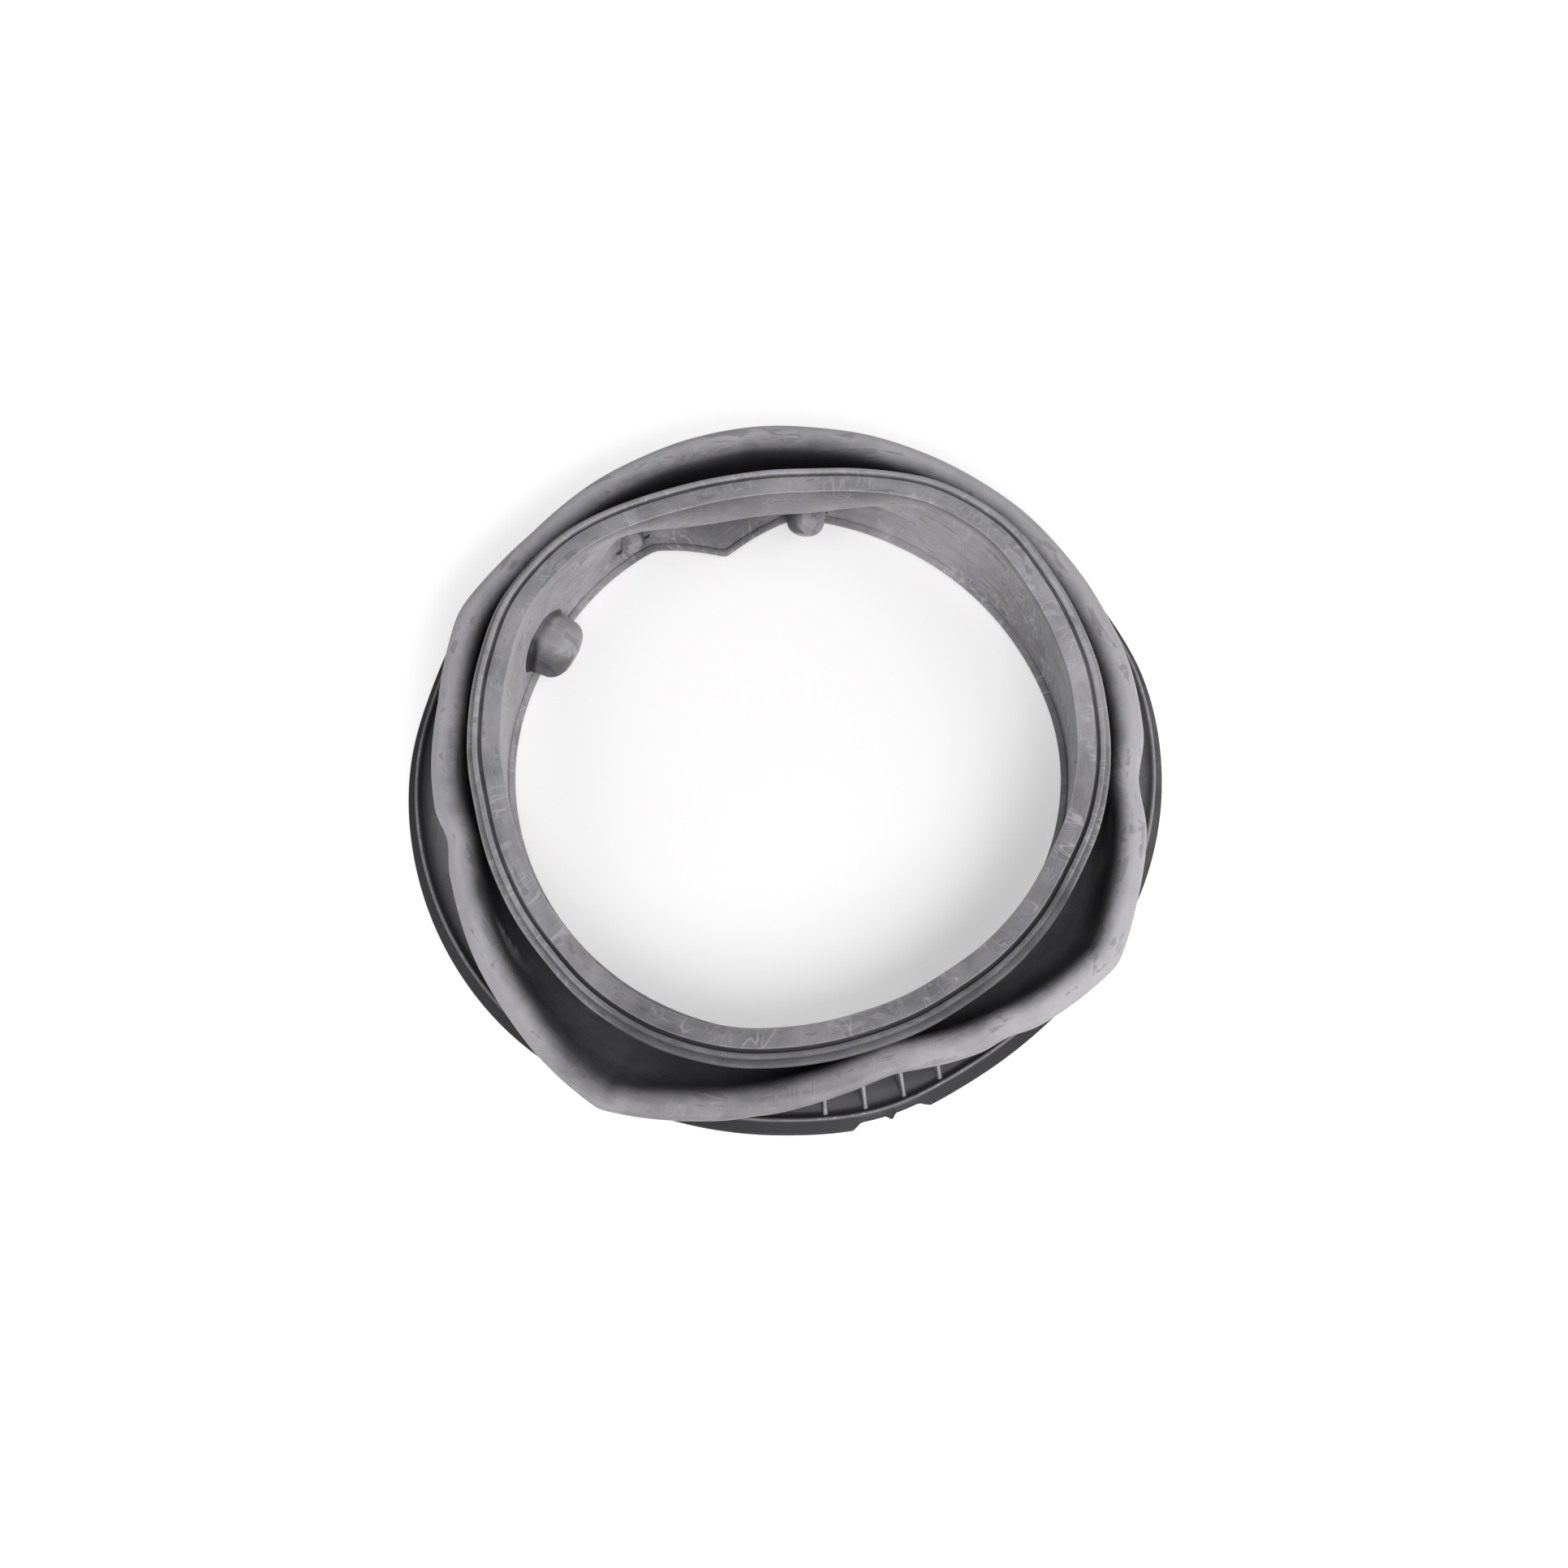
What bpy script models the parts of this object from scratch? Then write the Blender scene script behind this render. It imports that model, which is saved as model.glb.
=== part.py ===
"""Washing machine door seal: one grey rubber moulding, lying on its tub flange with the door lip up.

Metres, +Z up, standing on z = 0 with the origin under the middle of its outline.
The seal is a loft: one closed section, turned round the tub axis, whose rings swell, dip and
fold as they go round. Angles are in degrees, counter-clockwise from +X.
"""
import math

import bmesh
import bpy
import numpy as np

# Wall and fineness
WALL = 0.0024              # thickness of the bellows wall
STATIONS = 78              # sections round the ring

# Mean radii, each set in from the tub flange's lower edge
FLANGE_RADIUS = 0.1930
RIDGE_INSET = 0.0150
WAIST_INSET = 0.0215
LIP_INSET = 0.0330
RIM_INSET = 0.0530
RIDGE_RADIUS = FLANGE_RADIUS - RIDGE_INSET      # reach of the bellows' ridge
WAIST_RADIUS = FLANGE_RADIUS - WAIST_INSET      # wall between ridge and flange
LIP_RADIUS = FLANGE_RADIUS - LIP_INSET          # door lip's upper flange
RIM_RADIUS = FLANGE_RADIUS - RIM_INSET          # drum lip's rim

# Door lip: a sloping face with a bead channel near its edge, over a second, prouder flange
LIP_HEIGHT = 0.0556        # top of the upper flange
LIP_WIDTH = 0.0147         # from the upper flange's edge in to the crease
LIP_RISE = 0.0020          # the crease stands this much above the upper flange
LIP_PLATE = 0.0034         # thickness of the face behind the channel
BEAD_INSET = 0.0038        # from the flange's edge to the middle of the bead channel
BEAD_WIDTH = 0.0020
BEAD_DEPTH = 0.0020
SLOT_DEPTH = 0.0036        # slot between the two flanges
SLOT_HEIGHT = 0.0026
UPPER_FLANGE = 0.0032      # thickness of the upper flange at its edge
LOWER_FLANGE = 0.0030      # thickness of the lower flange
LOWER_PROUD = 0.0030       # the lower flange stands this far beyond the upper one
# The lip's radius at 24 equal stations, as shares of LIP_RADIUS: flattened at the top of the door
LIP_SHAPE = (1.009, 1.009, 1.015, 1.024, 1.005, 0.949, 0.915, 0.910, 0.936, 0.981, 0.996, 0.984,
             0.975, 0.972, 0.988, 1.016, 1.046, 1.058, 1.046, 1.030, 1.016, 1.012, 1.008, 1.011)

# Sleeve: from the crease down to the drum lip, and folded inwards under the top of the door
FOLD_DROP = 0.0292         # the fold's edge hangs this far below the crease
FOLD_START = 0.0150        # this far below it where the fold dies out
FOLD_PROUD = 0.0010        # the fold's edge stands this far inside the crease
FOLD = (95.0, 42.0, 42.0)  # angle, spread before, spread after
FOLD_CREST = 2.5           # the fold keeps its depth for longer the larger this is
RECESS = 0.0114            # how far the sleeve is set back under the fold

# Bellows: from the sleeve out along a valley, and up and over a rolled ridge
VALLEY_HEIGHT = 0.0190     # middle of the wall where it leaves the sleeve
VALLEY_DIP = 0.0015        # the valley's outer end is this much lower
VALLEY_WIDTH = 0.0060      # the floor is nowhere narrower than this
VALLEY_LEAN = 0.0026       # its outer end lies this far inside the ridge's shoulder
RIDGE_HEIGHT = 0.0432      # middle of the wall on top of the ridge
RIDGE_WIDTH = 0.0150       # across the roll
RIDGE_DROP = 0.0130        # the roll's outer face is upright for this far
# Shares of a corner's reach: how far its pocket's floor rises, and how far its roll is pinched
POCKET_RISE = 0.50
PINCH = 0.10
# Where each corner of the bellows' section starts to turn, from the fold out to the waist
TURNS = (0.0030, 0.0040, 0.0055, 0.0080, 0.0068, 0.0060, 0.0045)
TURN_STEPS = (1, 1, 2, 2, 2, 1, 1)
# The ridge's reach at 12 equal stations, as shares of RIDGE_RADIUS, without corners and puckers
RIDGE_SHAPE = (1.022, 1.012, 1.003, 1.003, 0.990, 0.979, 0.994, 1.000, 0.999, 0.990, 0.999, 1.006)
# Where the fold is pulled out to a corner: angle, share of the reach, spread before, spread after
CORNER_REACH = 0.0295
CORNERS = ((156.5, 0.203, 17.0, 15.0), (244.5, 1.0, 41.0, 42.0), (325.0, 0.729, 36.0, 28.0))
CORNER_ROUND = 1.2         # degrees over which a corner's tip is rounded
# Where the ridge puckers in: angle, share of the depth, spread to each side
PUCKER_DEPTH = 0.0050
PUCKERS = ((197.0, 0.60, 6.0), (265.5, 0.12, 4.0), (306.0, 0.36, 5.0), (353.5, 1.0, 8.0))

# Waist and tub flange
WAIST_HEIGHT = 0.0225
WAIST_SWELL = 0.15         # share of a corner's reach that the waist follows
FLANGE_TOP = 0.0120
FLANGE_STEP = 0.0042       # the upper edge stands this far inside the lower one
EDGE_THICKNESS = 0.0028    # thickness of both edges
EDGE_LIP = 0.0016          # the upper edge stands this much above the recess behind it
CLAMP_DEPTH = 0.0045       # groove for the clamp, from the upper edge inwards
FLANGE_WIDTH = 0.0135      # foot that stands on the tub
# The flange's radius at 24 equal stations, as shares of FLANGE_RADIUS
FLANGE_SHAPE = (1.016, 1.013, 0.992, 0.992, 0.995, 0.997, 1.000, 1.000, 0.993, 0.979, 0.977, 0.979,
                1.000, 1.011, 1.018, 1.018, 1.007, 1.001, 0.999, 1.003, 0.985, 0.983, 0.999, 1.011)

# Drum lip: the sleeve's lower end, with a ledge behind its rim, and the tongue in it
RIM_HEIGHT = 0.0038        # top of the rim
RIM_STEP = 0.0034          # from the rim to the step behind it
RIM_SHAPE = (1.024, 1.002, 1.000, 1.016, 1.008, 0.982, 0.987, 0.993, 1.000, 1.007, 1.014, 1.021)
TONGUE_LENGTH = 0.0178
TONGUE = (104.0, 15.5, 14.0)    # angle, spread before, spread after
TONGUE_ROUND = 1.2

# Blind ports moulded on the sleeve. Degrees round the ring, then shares of PORT_BASE, the
# largest port's half width where it meets the sleeve: how far its tip stands in from the drum
# lip, height of its tip and of its foot, half width of foot and of tip, rounding of the tip.
# Then its height for its width.
PORT_BASE = 0.0182
PORTS = (
    (150.0, 0.77, 0.93, 0.93, 1.00, 0.90, 0.30, 0.74),
    (121.3, -0.14, 1.10, 1.10, 0.28, 0.25, 0.08, 1.00),
    (85.0, 0.64, 0.73, 0.73, 0.53, 0.48, 0.30, 1.00),
)

# Gussets between the tub flange and the underside of the ridge
RIB_MIDDLE = 285.8
RIB_PITCH = 6.2
RIB_COUNT = 4
RIB_THICKNESS = 0.0022
RIB_OUTER = 0.0034         # from the flange's upper edge in to the rib's foot
RIB_HEIGHT = 0.0310        # where its outer edge meets the ridge

# Locating notch in the lower edge, with its pointer
NOTCH_ANGLE = 286.4
NOTCH_WIDTH = 0.0360
NOTCH_DEPTH = 0.0034
POINTER_RADIUS = 0.0024


def around(values, angle):
    """Smooth closed curve through equally spaced station values, read at each angle."""
    values = np.asarray(values)
    place = np.asarray(angle) / 360 * len(values)
    i = np.floor(place).astype(int)
    t = place - i
    a, b, c, d = (values[(i + k) % len(values)] for k in (-1, 0, 1, 2))
    return b + 0.5 * t * (c - a + t * (2 * a - 5 * b + 4 * c - d + t * (3 * (b - c) + d - a)))


def spread(angle, centre, before, after):
    """0 at the centre, 1 where the feature ends on either side."""
    off = (np.asarray(angle) - centre + 180) % 360 - 180
    return off / np.where(off < 0, before, after)


def bell(angle, centre, before, after):
    return np.cos(np.pi / 2 * np.clip(spread(angle, centre, before, after), -1, 1)) ** 2


def tent(angle, centre, before, after, rounding):
    """Straight flanks that meet in a rounded tip and die out softly at the foot."""
    soft = 2 * rounding / (before + after)
    far = np.abs(spread(angle, centre, before, after))
    height = 1 + soft - np.sqrt(far ** 2 + soft ** 2)
    return 0.5 * (height + np.sqrt(height ** 2 + 0.004))


def station_angles(count):
    """Angles round the ring, closer together where it bends most."""
    fine = np.linspace(0, 360, 3601)
    crowd = 1 + bell(fine, TONGUE[0], 12, 12)
    for centre, *_ in CORNERS:
        crowd += 1.6 * bell(fine, centre, 7, 7)
    for centre, *_ in PUCKERS:
        crowd += 0.6 * bell(fine, centre, 8, 8)
    total = np.concatenate(([0], np.cumsum(0.5 * (crowd[1:] + crowd[:-1]))))
    return np.interp(np.arange(count) / count * total[-1], total, fine)


def rounded(points, turns, steps):
    """The open polyline with each inner corner replaced by a curve between its two sides.

    points is (corner, axis, station); a curve takes its turn's length of each side, or less than
    half of a short one."""
    out = [points[0]]
    for a, b, c, turn, count in zip(points[:-2], points[1:-1], points[2:], turns, steps):
        start, end = (b + (p - b) * np.minimum(0.45, turn / np.hypot(*(p - b))) for p in (a, c))
        for k in range(count + 1):
            t = k / max(count, 1)
            out.append((1 - t) ** 2 * start + 2 * t * (1 - t) * b + t ** 2 * end)
    out.append(points[-1])
    return np.array(out)


def offset(line, distance):
    """The line moved sideways, to its left for a positive distance."""
    along = np.gradient(line, axis=0)
    along /= np.hypot(along[:, 0], along[:, 1])[:, None]
    return line + distance * np.stack([-along[:, 1], along[:, 0]], axis=1)


def sleeve(angle):
    """Radii and heights of the sleeve's inner face from the drum lip up: ledge, back, fold, crease.

    It is straight from crease to ledge, but for the fold and the recess under it."""
    top = LIP_HEIGHT + LIP_RISE
    folded = 1 - (1 - bell(angle, *FOLD)) ** FOLD_CREST
    crease = LIP_RADIUS * around(LIP_SHAPE, angle) - LIP_WIDTH
    ledge = RIM_RADIUS * around(RIM_SHAPE, angle) + 1.2 * RIM_STEP

    def straight(height):
        return ledge + (crease - ledge) * (height - RIM_HEIGHT) / (top - RIM_HEIGHT)

    fold_height = top - FOLD_START - (FOLD_DROP - FOLD_START) * folded
    fold = straight(fold_height) * (1 - folded) + (crease - FOLD_PROUD) * folded
    back = straight(VALLEY_HEIGHT) + RECESS * folded
    return (ledge, back, fold, crease), (RIM_HEIGHT, VALLEY_HEIGHT, fold_height, top)


def section(angle, steps=TURN_STEPS):
    """Closed outline (point, r-z, station), from the crease out over the lip and round."""
    flat = np.zeros_like(angle)

    def at(radius, height):
        return np.stack([radius + flat, height + flat])

    lip = LIP_RADIUS * around(LIP_SHAPE, angle)
    reach = sum(CORNER_REACH * share * tent(angle, centre, before, after, CORNER_ROUND)
                for centre, share, before, after in CORNERS)
    pucker = sum(PUCKER_DEPTH * share * bell(angle, centre, width, width)
                 for centre, share, width in PUCKERS)
    ridge = RIDGE_RADIUS * around(RIDGE_SHAPE, angle) + reach - pucker
    waist = WAIST_RADIUS + WAIST_SWELL * reach
    flange = FLANGE_RADIUS * around(FLANGE_SHAPE, angle)
    upper = flange - FLANGE_STEP
    (ledge, back, fold, crease), (*_, fold_height, top) = sleeve(angle)
    rim = ledge - 1.2 * RIM_STEP - TONGUE_LENGTH * tent(angle, *TONGUE, TONGUE_ROUND)

    plate = top - LIP_PLATE
    bead = lip - BEAD_INSET
    floor = LIP_HEIGHT - BEAD_DEPTH
    slot = LIP_HEIGHT - UPPER_FLANGE
    lower = slot - SLOT_HEIGHT
    head = [
        at(crease, top),
        at(bead - 0.60 * BEAD_WIDTH, LIP_HEIGHT + 0.1 * LIP_RISE),
        at(bead - 0.40 * BEAD_WIDTH, floor),
        at(bead + 0.40 * BEAD_WIDTH, floor),
        at(bead + 0.60 * BEAD_WIDTH, LIP_HEIGHT - 0.1 * LIP_RISE),
        at(lip - 0.25 * UPPER_FLANGE, LIP_HEIGHT),
        at(lip, LIP_HEIGHT - 0.3 * UPPER_FLANGE),
        at(lip - 0.1 * UPPER_FLANGE, slot + 0.2 * UPPER_FLANGE),
        at(lip - SLOT_DEPTH, slot - 0.1 * SLOT_HEIGHT),
        at(lip - SLOT_DEPTH, lower + 0.1 * SLOT_HEIGHT),
        at(lip + LOWER_PROUD - 0.2 * LOWER_FLANGE, lower - 0.1 * LOWER_FLANGE),
        at(lip + LOWER_PROUD, lower - 0.45 * LOWER_FLANGE),
        at(lip + LOWER_PROUD - 0.2 * LOWER_FLANGE, lower - 0.9 * LOWER_FLANGE),
        at(lip - SLOT_DEPTH - 0.8 * WALL, lower - LOWER_FLANGE),
    ]

    shoulder = ridge - RIDGE_WIDTH + PINCH * reach
    valley_end = np.maximum(shoulder - VALLEY_LEAN, back + 0.5 * WALL + VALLEY_WIDTH)
    path = np.array([
        at(crease + 1.1 * WALL, lower - LOWER_FLANGE - 0.6 * WALL),
        at(fold + 0.6 * WALL, fold_height),
        at(back + 0.6 * WALL, VALLEY_HEIGHT),
        at(valley_end, VALLEY_HEIGHT - VALLEY_DIP + POCKET_RISE * reach),
        at(np.maximum(shoulder, valley_end), RIDGE_HEIGHT),
        at(ridge, RIDGE_HEIGHT),
        at(ridge - 0.5 * WALL, RIDGE_HEIGHT - RIDGE_DROP),
        at(waist, WAIST_HEIGHT),
        at(waist + 0.4 * WALL, FLANGE_TOP + WALL),
    ])
    middle = rounded(path, TURNS, steps)
    outside = offset(middle, WALL / 2)
    branch = 1 + sum(count + 1 for count in steps[:2])
    inside = offset(middle, -WALL / 2)[branch:][::-1]

    groove = upper - CLAMP_DEPTH
    recess = FLANGE_TOP - EDGE_LIP
    foot = [
        at(upper - 1.4 * EDGE_THICKNESS, recess),
        at(upper - 0.8 * EDGE_THICKNESS, FLANGE_TOP),
        at(upper - 0.1 * EDGE_THICKNESS, FLANGE_TOP - 0.2 * EDGE_THICKNESS),
        at(upper, FLANGE_TOP - 0.8 * EDGE_THICKNESS),
        at(groove, recess - 0.8 * WALL),
        at(groove, 1.4 * EDGE_THICKNESS),
        at(flange - 0.2 * EDGE_THICKNESS, EDGE_THICKNESS),
        at(flange, 0.6 * EDGE_THICKNESS),
        at(flange - 0.2 * EDGE_THICKNESS, 0),
        at(flange - FLANGE_WIDTH, 0),
        at(flange - FLANGE_WIDTH + 0.4 * WALL, recess - 0.8 * WALL),
    ]
    inner = rounded(np.array([
        at(back + 0.9 * WALL, VALLEY_HEIGHT - 0.9 * WALL),
        at(rim + 1.3 * RIM_STEP + 0.8 * WALL, RIM_HEIGHT - 0.4 * WALL),
        at(rim + 0.2 * WALL, RIM_HEIGHT - WALL),
        at(rim, RIM_HEIGHT - 0.3 * WALL),
        at(rim + RIM_STEP, RIM_HEIGHT + 0.3 * WALL),
        at(rim + 1.2 * RIM_STEP, RIM_HEIGHT + 0.1 * WALL),
        at(back, VALLEY_HEIGHT),
        at(fold, fold_height),
        at(crease, top),
    ]), (0, 0, 0, 0, 0, 0.0080, 0.0030), (0, 0, 0, 0, 0, 2, 2))[:-1]
    return np.concatenate([head, outside, foot, inside, inner])


def lofted(name, angles, outline):
    """One closed ring through every section."""
    turn = np.radians(angles)
    x, y, z = outline[:, 0] * np.cos(turn), outline[:, 0] * np.sin(turn), outline[:, 1]
    shape = bmesh.new()
    rings = [[shape.verts.new(p) for p in zip(x[:, s], y[:, s], z[:, s])] for s in range(len(angles))]
    for one, two in zip(rings, rings[1:] + rings[:1]):
        for k in range(len(one)):
            shape.faces.new((one[k - 1], one[k], two[k], two[k - 1]))
    bmesh.ops.recalc_face_normals(shape, faces=shape.faces)
    mesh = bpy.data.meshes.new(name)
    shape.to_mesh(mesh)
    shape.free()
    return bpy.data.objects.new(name, mesh)


def primitive(name, make):
    """A mesh object whose faces the given function adds to an empty bmesh."""
    shape = bmesh.new()
    make(shape)
    mesh = bpy.data.meshes.new(name)
    shape.to_mesh(mesh)
    shape.free()
    return bpy.data.objects.new(name, mesh)


def port(name, angle, inset, tip_height, foot_height, foot, tip, rounding, squash):
    """A blunt round port: rings from the middle of the sleeve's wall to a rounded tip.

    It lies along +X at its own radius, and is turned to its angle when it is joined."""
    count = 20 if foot > 3 * WALL else 12
    turn = np.arange(count) / count * 2 * math.pi
    across, up = np.cos(turn), squash * np.sin(turn)

    def wall(share):
        y = share * foot * across
        z = foot_height + share * foot * up
        radii, heights = sleeve(angle + np.degrees(y / RIM_RADIUS))
        heights = np.array([height + 0 * y for height in heights])
        radius = [np.interp(*row) for row in zip(z, heights.T, np.array(radii).T)]
        return np.stack([np.sqrt((np.array(radius) + WALL / 2) ** 2 - y ** 2), y, z], axis=1)

    start = wall(0.0)[0]
    end = np.array([RIM_RADIUS - inset, 0, tip_height])
    along = (end - start) / np.linalg.norm(end - start)
    rise = np.array([-along[2], 0, along[0]]) * -1

    def ring(back, radius):
        return end - back * along + radius * (np.outer(across, (0, 1, 0)) + np.outer(up, rise))

    rings = [wall(0.5), wall(1.0), ring(rounding, tip), ring(0.3 * rounding, tip - 0.3 * rounding),
             ring(0, tip - rounding)]

    def make(shape):
        verts = [[shape.verts.new(p) for p in points] for points in rings]
        for one, two in zip(verts, verts[1:]):
            for k in range(count):
                shape.faces.new((one[k - 1], one[k], two[k], two[k - 1]))
        shape.faces.new(verts[0][::-1])
        shape.faces.new(verts[-1])
        bmesh.ops.recalc_face_normals(shape, faces=shape.faces)
    return primitive(name, make)


def box(name, size):
    def make(shape):
        bmesh.ops.create_cube(shape, size=1)
        bmesh.ops.scale(shape, verts=shape.verts, vec=size)
    return primitive(name, make)


def plate(name, profile, thickness):
    """A flat plate in the r-z plane: its outline, one half thickness to each side."""
    def make(shape):
        face = shape.faces.new([shape.verts.new((r, -thickness / 2, z)) for r, z in profile])
        made = bmesh.ops.extrude_face_region(shape, geom=[face])["geom"]
        moved = [v for v in made if isinstance(v, bmesh.types.BMVert)]
        bmesh.ops.translate(shape, verts=moved, vec=(0, thickness, 0))
        bmesh.ops.recalc_face_normals(shape, faces=shape.faces)
    return primitive(name, make)


def rubber():
    material = bpy.data.materials.new("grey_rubber")
    material.use_nodes = True
    shader = material.node_tree.nodes["Principled BSDF"]
    shader.inputs["Base Color"].default_value = (0.155, 0.150, 0.153, 1)
    shader.inputs["Roughness"].default_value = 0.55
    shader.inputs["Metallic"].default_value = 0.0
    return material


for old in list(bpy.data.objects):
    bpy.data.objects.remove(old, do_unlink=True)

parts = bpy.data.collections.new("door_seal_parts")
helpers = bpy.data.collections.new("door_seal_helpers")
bpy.context.scene.collection.children.link(parts)
bpy.context.scene.collection.children.link(helpers)

angles = station_angles(STATIONS)
outline = section(angles)
seal = lofted("door_seal", angles, outline)
seal.data.materials.append(rubber())
parts.objects.link(seal)

# The axis stands where the outline's middle comes to the origin.
span = np.array([v.co for v in seal.data.vertices])
axis = bpy.data.objects.new("tub_axis", None)
axis.location = (*(-0.5 * (span.min(axis=0) + span.max(axis=0))[:2]), 0)
parts.objects.link(axis)
seal.parent = axis


def fuse(helper, angle, operation, radius=0.0, height=0.0):
    """Places a helper at its angle round the axis and joins it to the seal, or cuts it away."""
    turn = math.radians(angle)
    helper.rotation_euler = (0, 0, turn)
    helper.location = (radius * math.cos(turn), radius * math.sin(turn), height)
    helper.parent = axis
    helper.hide_render = True
    helper.display_type = "WIRE"
    helpers.objects.link(helper)
    join = seal.modifiers.new(helper.name, "BOOLEAN")
    join.operation = operation
    join.solver = "EXACT"
    join.object = helper


for number, (angle, *shares, squash) in enumerate(PORTS):
    lengths = [PORT_BASE * share for share in shares]
    fuse(port(f"port_{number + 1}", angle, *lengths, squash), angle, "UNION")

notch_edge = FLANGE_RADIUS * float(around(FLANGE_SHAPE, NOTCH_ANGLE)) - NOTCH_DEPTH
cut_depth = 4 * NOTCH_DEPTH
cutter = box("notch_cutter", (cut_depth, NOTCH_WIDTH, 4 * EDGE_THICKNESS))
fuse(cutter, NOTCH_ANGLE, "DIFFERENCE", notch_edge + cut_depth / 2, -0.7 * EDGE_THICKNESS)


def make_pointer(shape):
    bmesh.ops.create_cone(shape, cap_ends=True, segments=3, radius1=POINTER_RADIUS,
                          radius2=POINTER_RADIUS, depth=0.9 * EDGE_THICKNESS)
    bmesh.ops.scale(shape, verts=shape.verts, vec=(1.5, 0.9, 1))


fuse(primitive("pointer", make_pointer), NOTCH_ANGLE, "UNION", notch_edge + 0.5 * POINTER_RADIUS,
     0.5 * EDGE_THICKNESS)

for number in range(RIB_COUNT):
    angle = RIB_MIDDLE + (number - (RIB_COUNT - 1) / 2) * RIB_PITCH
    edge = FLANGE_RADIUS * float(around(FLANGE_SHAPE, angle)) - FLANGE_STEP - RIB_OUTER
    ridge = RIDGE_RADIUS * float(around(RIDGE_SHAPE, angle))
    profile = ((WAIST_RADIUS + 0.4 * WALL, FLANGE_TOP + 0.8 * WALL),
               (edge, FLANGE_TOP - EDGE_LIP - 0.3 * WALL),
               (ridge, RIB_HEIGHT),
               (WAIST_RADIUS, WAIST_HEIGHT))
    fuse(plate(f"rib_{number + 1}", profile, RIB_THICKNESS), angle, "UNION")

seal.data.shade_smooth()
seal.data.set_sharp_from_angle(angle=math.radians(38))
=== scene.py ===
# %% [markdown]
# # A washing machine door seal
#
# This notebook dresses a moulded rubber door seal for a front-loading washer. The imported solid
# model is the frame: it gives the size and the place of everything. The seal is one piece of
# grey EPDM rubber, so nearly all of the work goes into one surface, its folds and its powder.

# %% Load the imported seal
import bpy
import bmesh
import math
import numpy as np
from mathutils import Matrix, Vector


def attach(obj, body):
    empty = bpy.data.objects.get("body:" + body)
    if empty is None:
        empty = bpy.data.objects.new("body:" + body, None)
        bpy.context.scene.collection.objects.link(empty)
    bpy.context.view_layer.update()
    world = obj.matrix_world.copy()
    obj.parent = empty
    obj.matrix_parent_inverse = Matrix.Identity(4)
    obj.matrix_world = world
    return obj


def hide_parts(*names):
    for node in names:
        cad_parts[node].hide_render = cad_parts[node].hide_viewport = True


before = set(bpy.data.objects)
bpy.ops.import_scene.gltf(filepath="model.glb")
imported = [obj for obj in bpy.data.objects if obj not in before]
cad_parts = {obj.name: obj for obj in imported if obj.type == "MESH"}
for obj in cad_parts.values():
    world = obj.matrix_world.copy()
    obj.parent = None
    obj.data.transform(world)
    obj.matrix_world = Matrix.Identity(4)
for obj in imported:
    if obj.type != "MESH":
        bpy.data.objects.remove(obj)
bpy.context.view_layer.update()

# %% [markdown]
# ## The sizes
#
# The seal is a ring. Heights are above the plane that the tub flange stands on, radii are
# distances from the tub's axis, and widths, depths and steps are measured from those. The solid
# model was built from nearly the same values, so a surface made from them lies where the solid
# lies, but for a few that were matched to the photograph later:
# the far fold, the hollow round the pin, the tongue's tip, the ports, the valley under the corners
# and one pucker. Lengths are in metres, but for the flash ticks, and angles are in degrees,
# counter-clockwise from +X as seen from the door.

# %% Sizes of the seal
AXIS = np.array([-0.00141, 0.00045])     # where the tub's axis meets the floor
WALL = 0.0024                            # thickness of the bellows

# the five rings, from the outside in
FLANGE_RADIUS, RIDGE_RADIUS, WAIST_RADIUS, LIP_RADIUS, RIM_RADIUS = 0.193, 0.178, 0.1715, 0.160, 0.140

# door lip: its top, the rise of its inner edge, its width and the channel for its bead
LIP_HEIGHT, LIP_RISE, LIP_WIDTH = 0.0556, 0.0020, 0.0147
BEAD_INSET, BEAD_WIDTH, BEAD_DEPTH = 0.0038, 0.0020, 0.0020
# its two flanges, the slot between them and how far the lower one stands out
UPPER_FLANGE, LOWER_FLANGE, LOWER_PROUD = 0.0032, 0.0030, 0.0030
SLOT_DEPTH, SLOT_HEIGHT = 0.0036, 0.0026
SLOT_TOP = LIP_HEIGHT - UPPER_FLANGE
SLOT_FLOOR = SLOT_TOP - SLOT_HEIGHT

# far fold of the sleeve: how far it hangs down, where it starts, its root and how it stands out
FOLD_DROP, FOLD_START, FOLD_ROOT, FOLD_PROUD = 0.0256, 0.0090, 0.0150, 0.0010
RECESS, FOLD_CREST, FOLD_FADE = 0.0114, 2.5, 2.2

# bellows: valley, ridge, pockets under the corners, waist
VALLEY_HEIGHT, VALLEY_DIP, VALLEY_WIDTH, VALLEY_LEAN = 0.0190, 0.0015, 0.0060, 0.0026
RIDGE_HEIGHT, RIDGE_WIDTH, RIDGE_DROP, RIDGE_TILT = 0.0432, 0.0150, 0.0130, 0.0006
POCKET_RISE, POCKET_LEAN, PINCH = 0.50, 0.12, 0.10
WAIST_HEIGHT, WAIST_SWELL = 0.0225, 0.15

# tub flange with its upright edge and clamp groove, and the drum lip
FLANGE_TOP, FLANGE_STEP, FLANGE_WIDTH = 0.0120, 0.0042, 0.0135
EDGE_THICKNESS, EDGE_LIP, CLAMP_DEPTH = 0.0028, 0.0016, 0.0045
RIM_HEIGHT, RIM_STEP = 0.0038, 0.0034
print("nominal size:", round(2000 * FLANGE_RADIUS, 1), "mm over the flange and",
      round(1000 * (LIP_HEIGHT + LIP_RISE), 1), "mm high")

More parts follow.
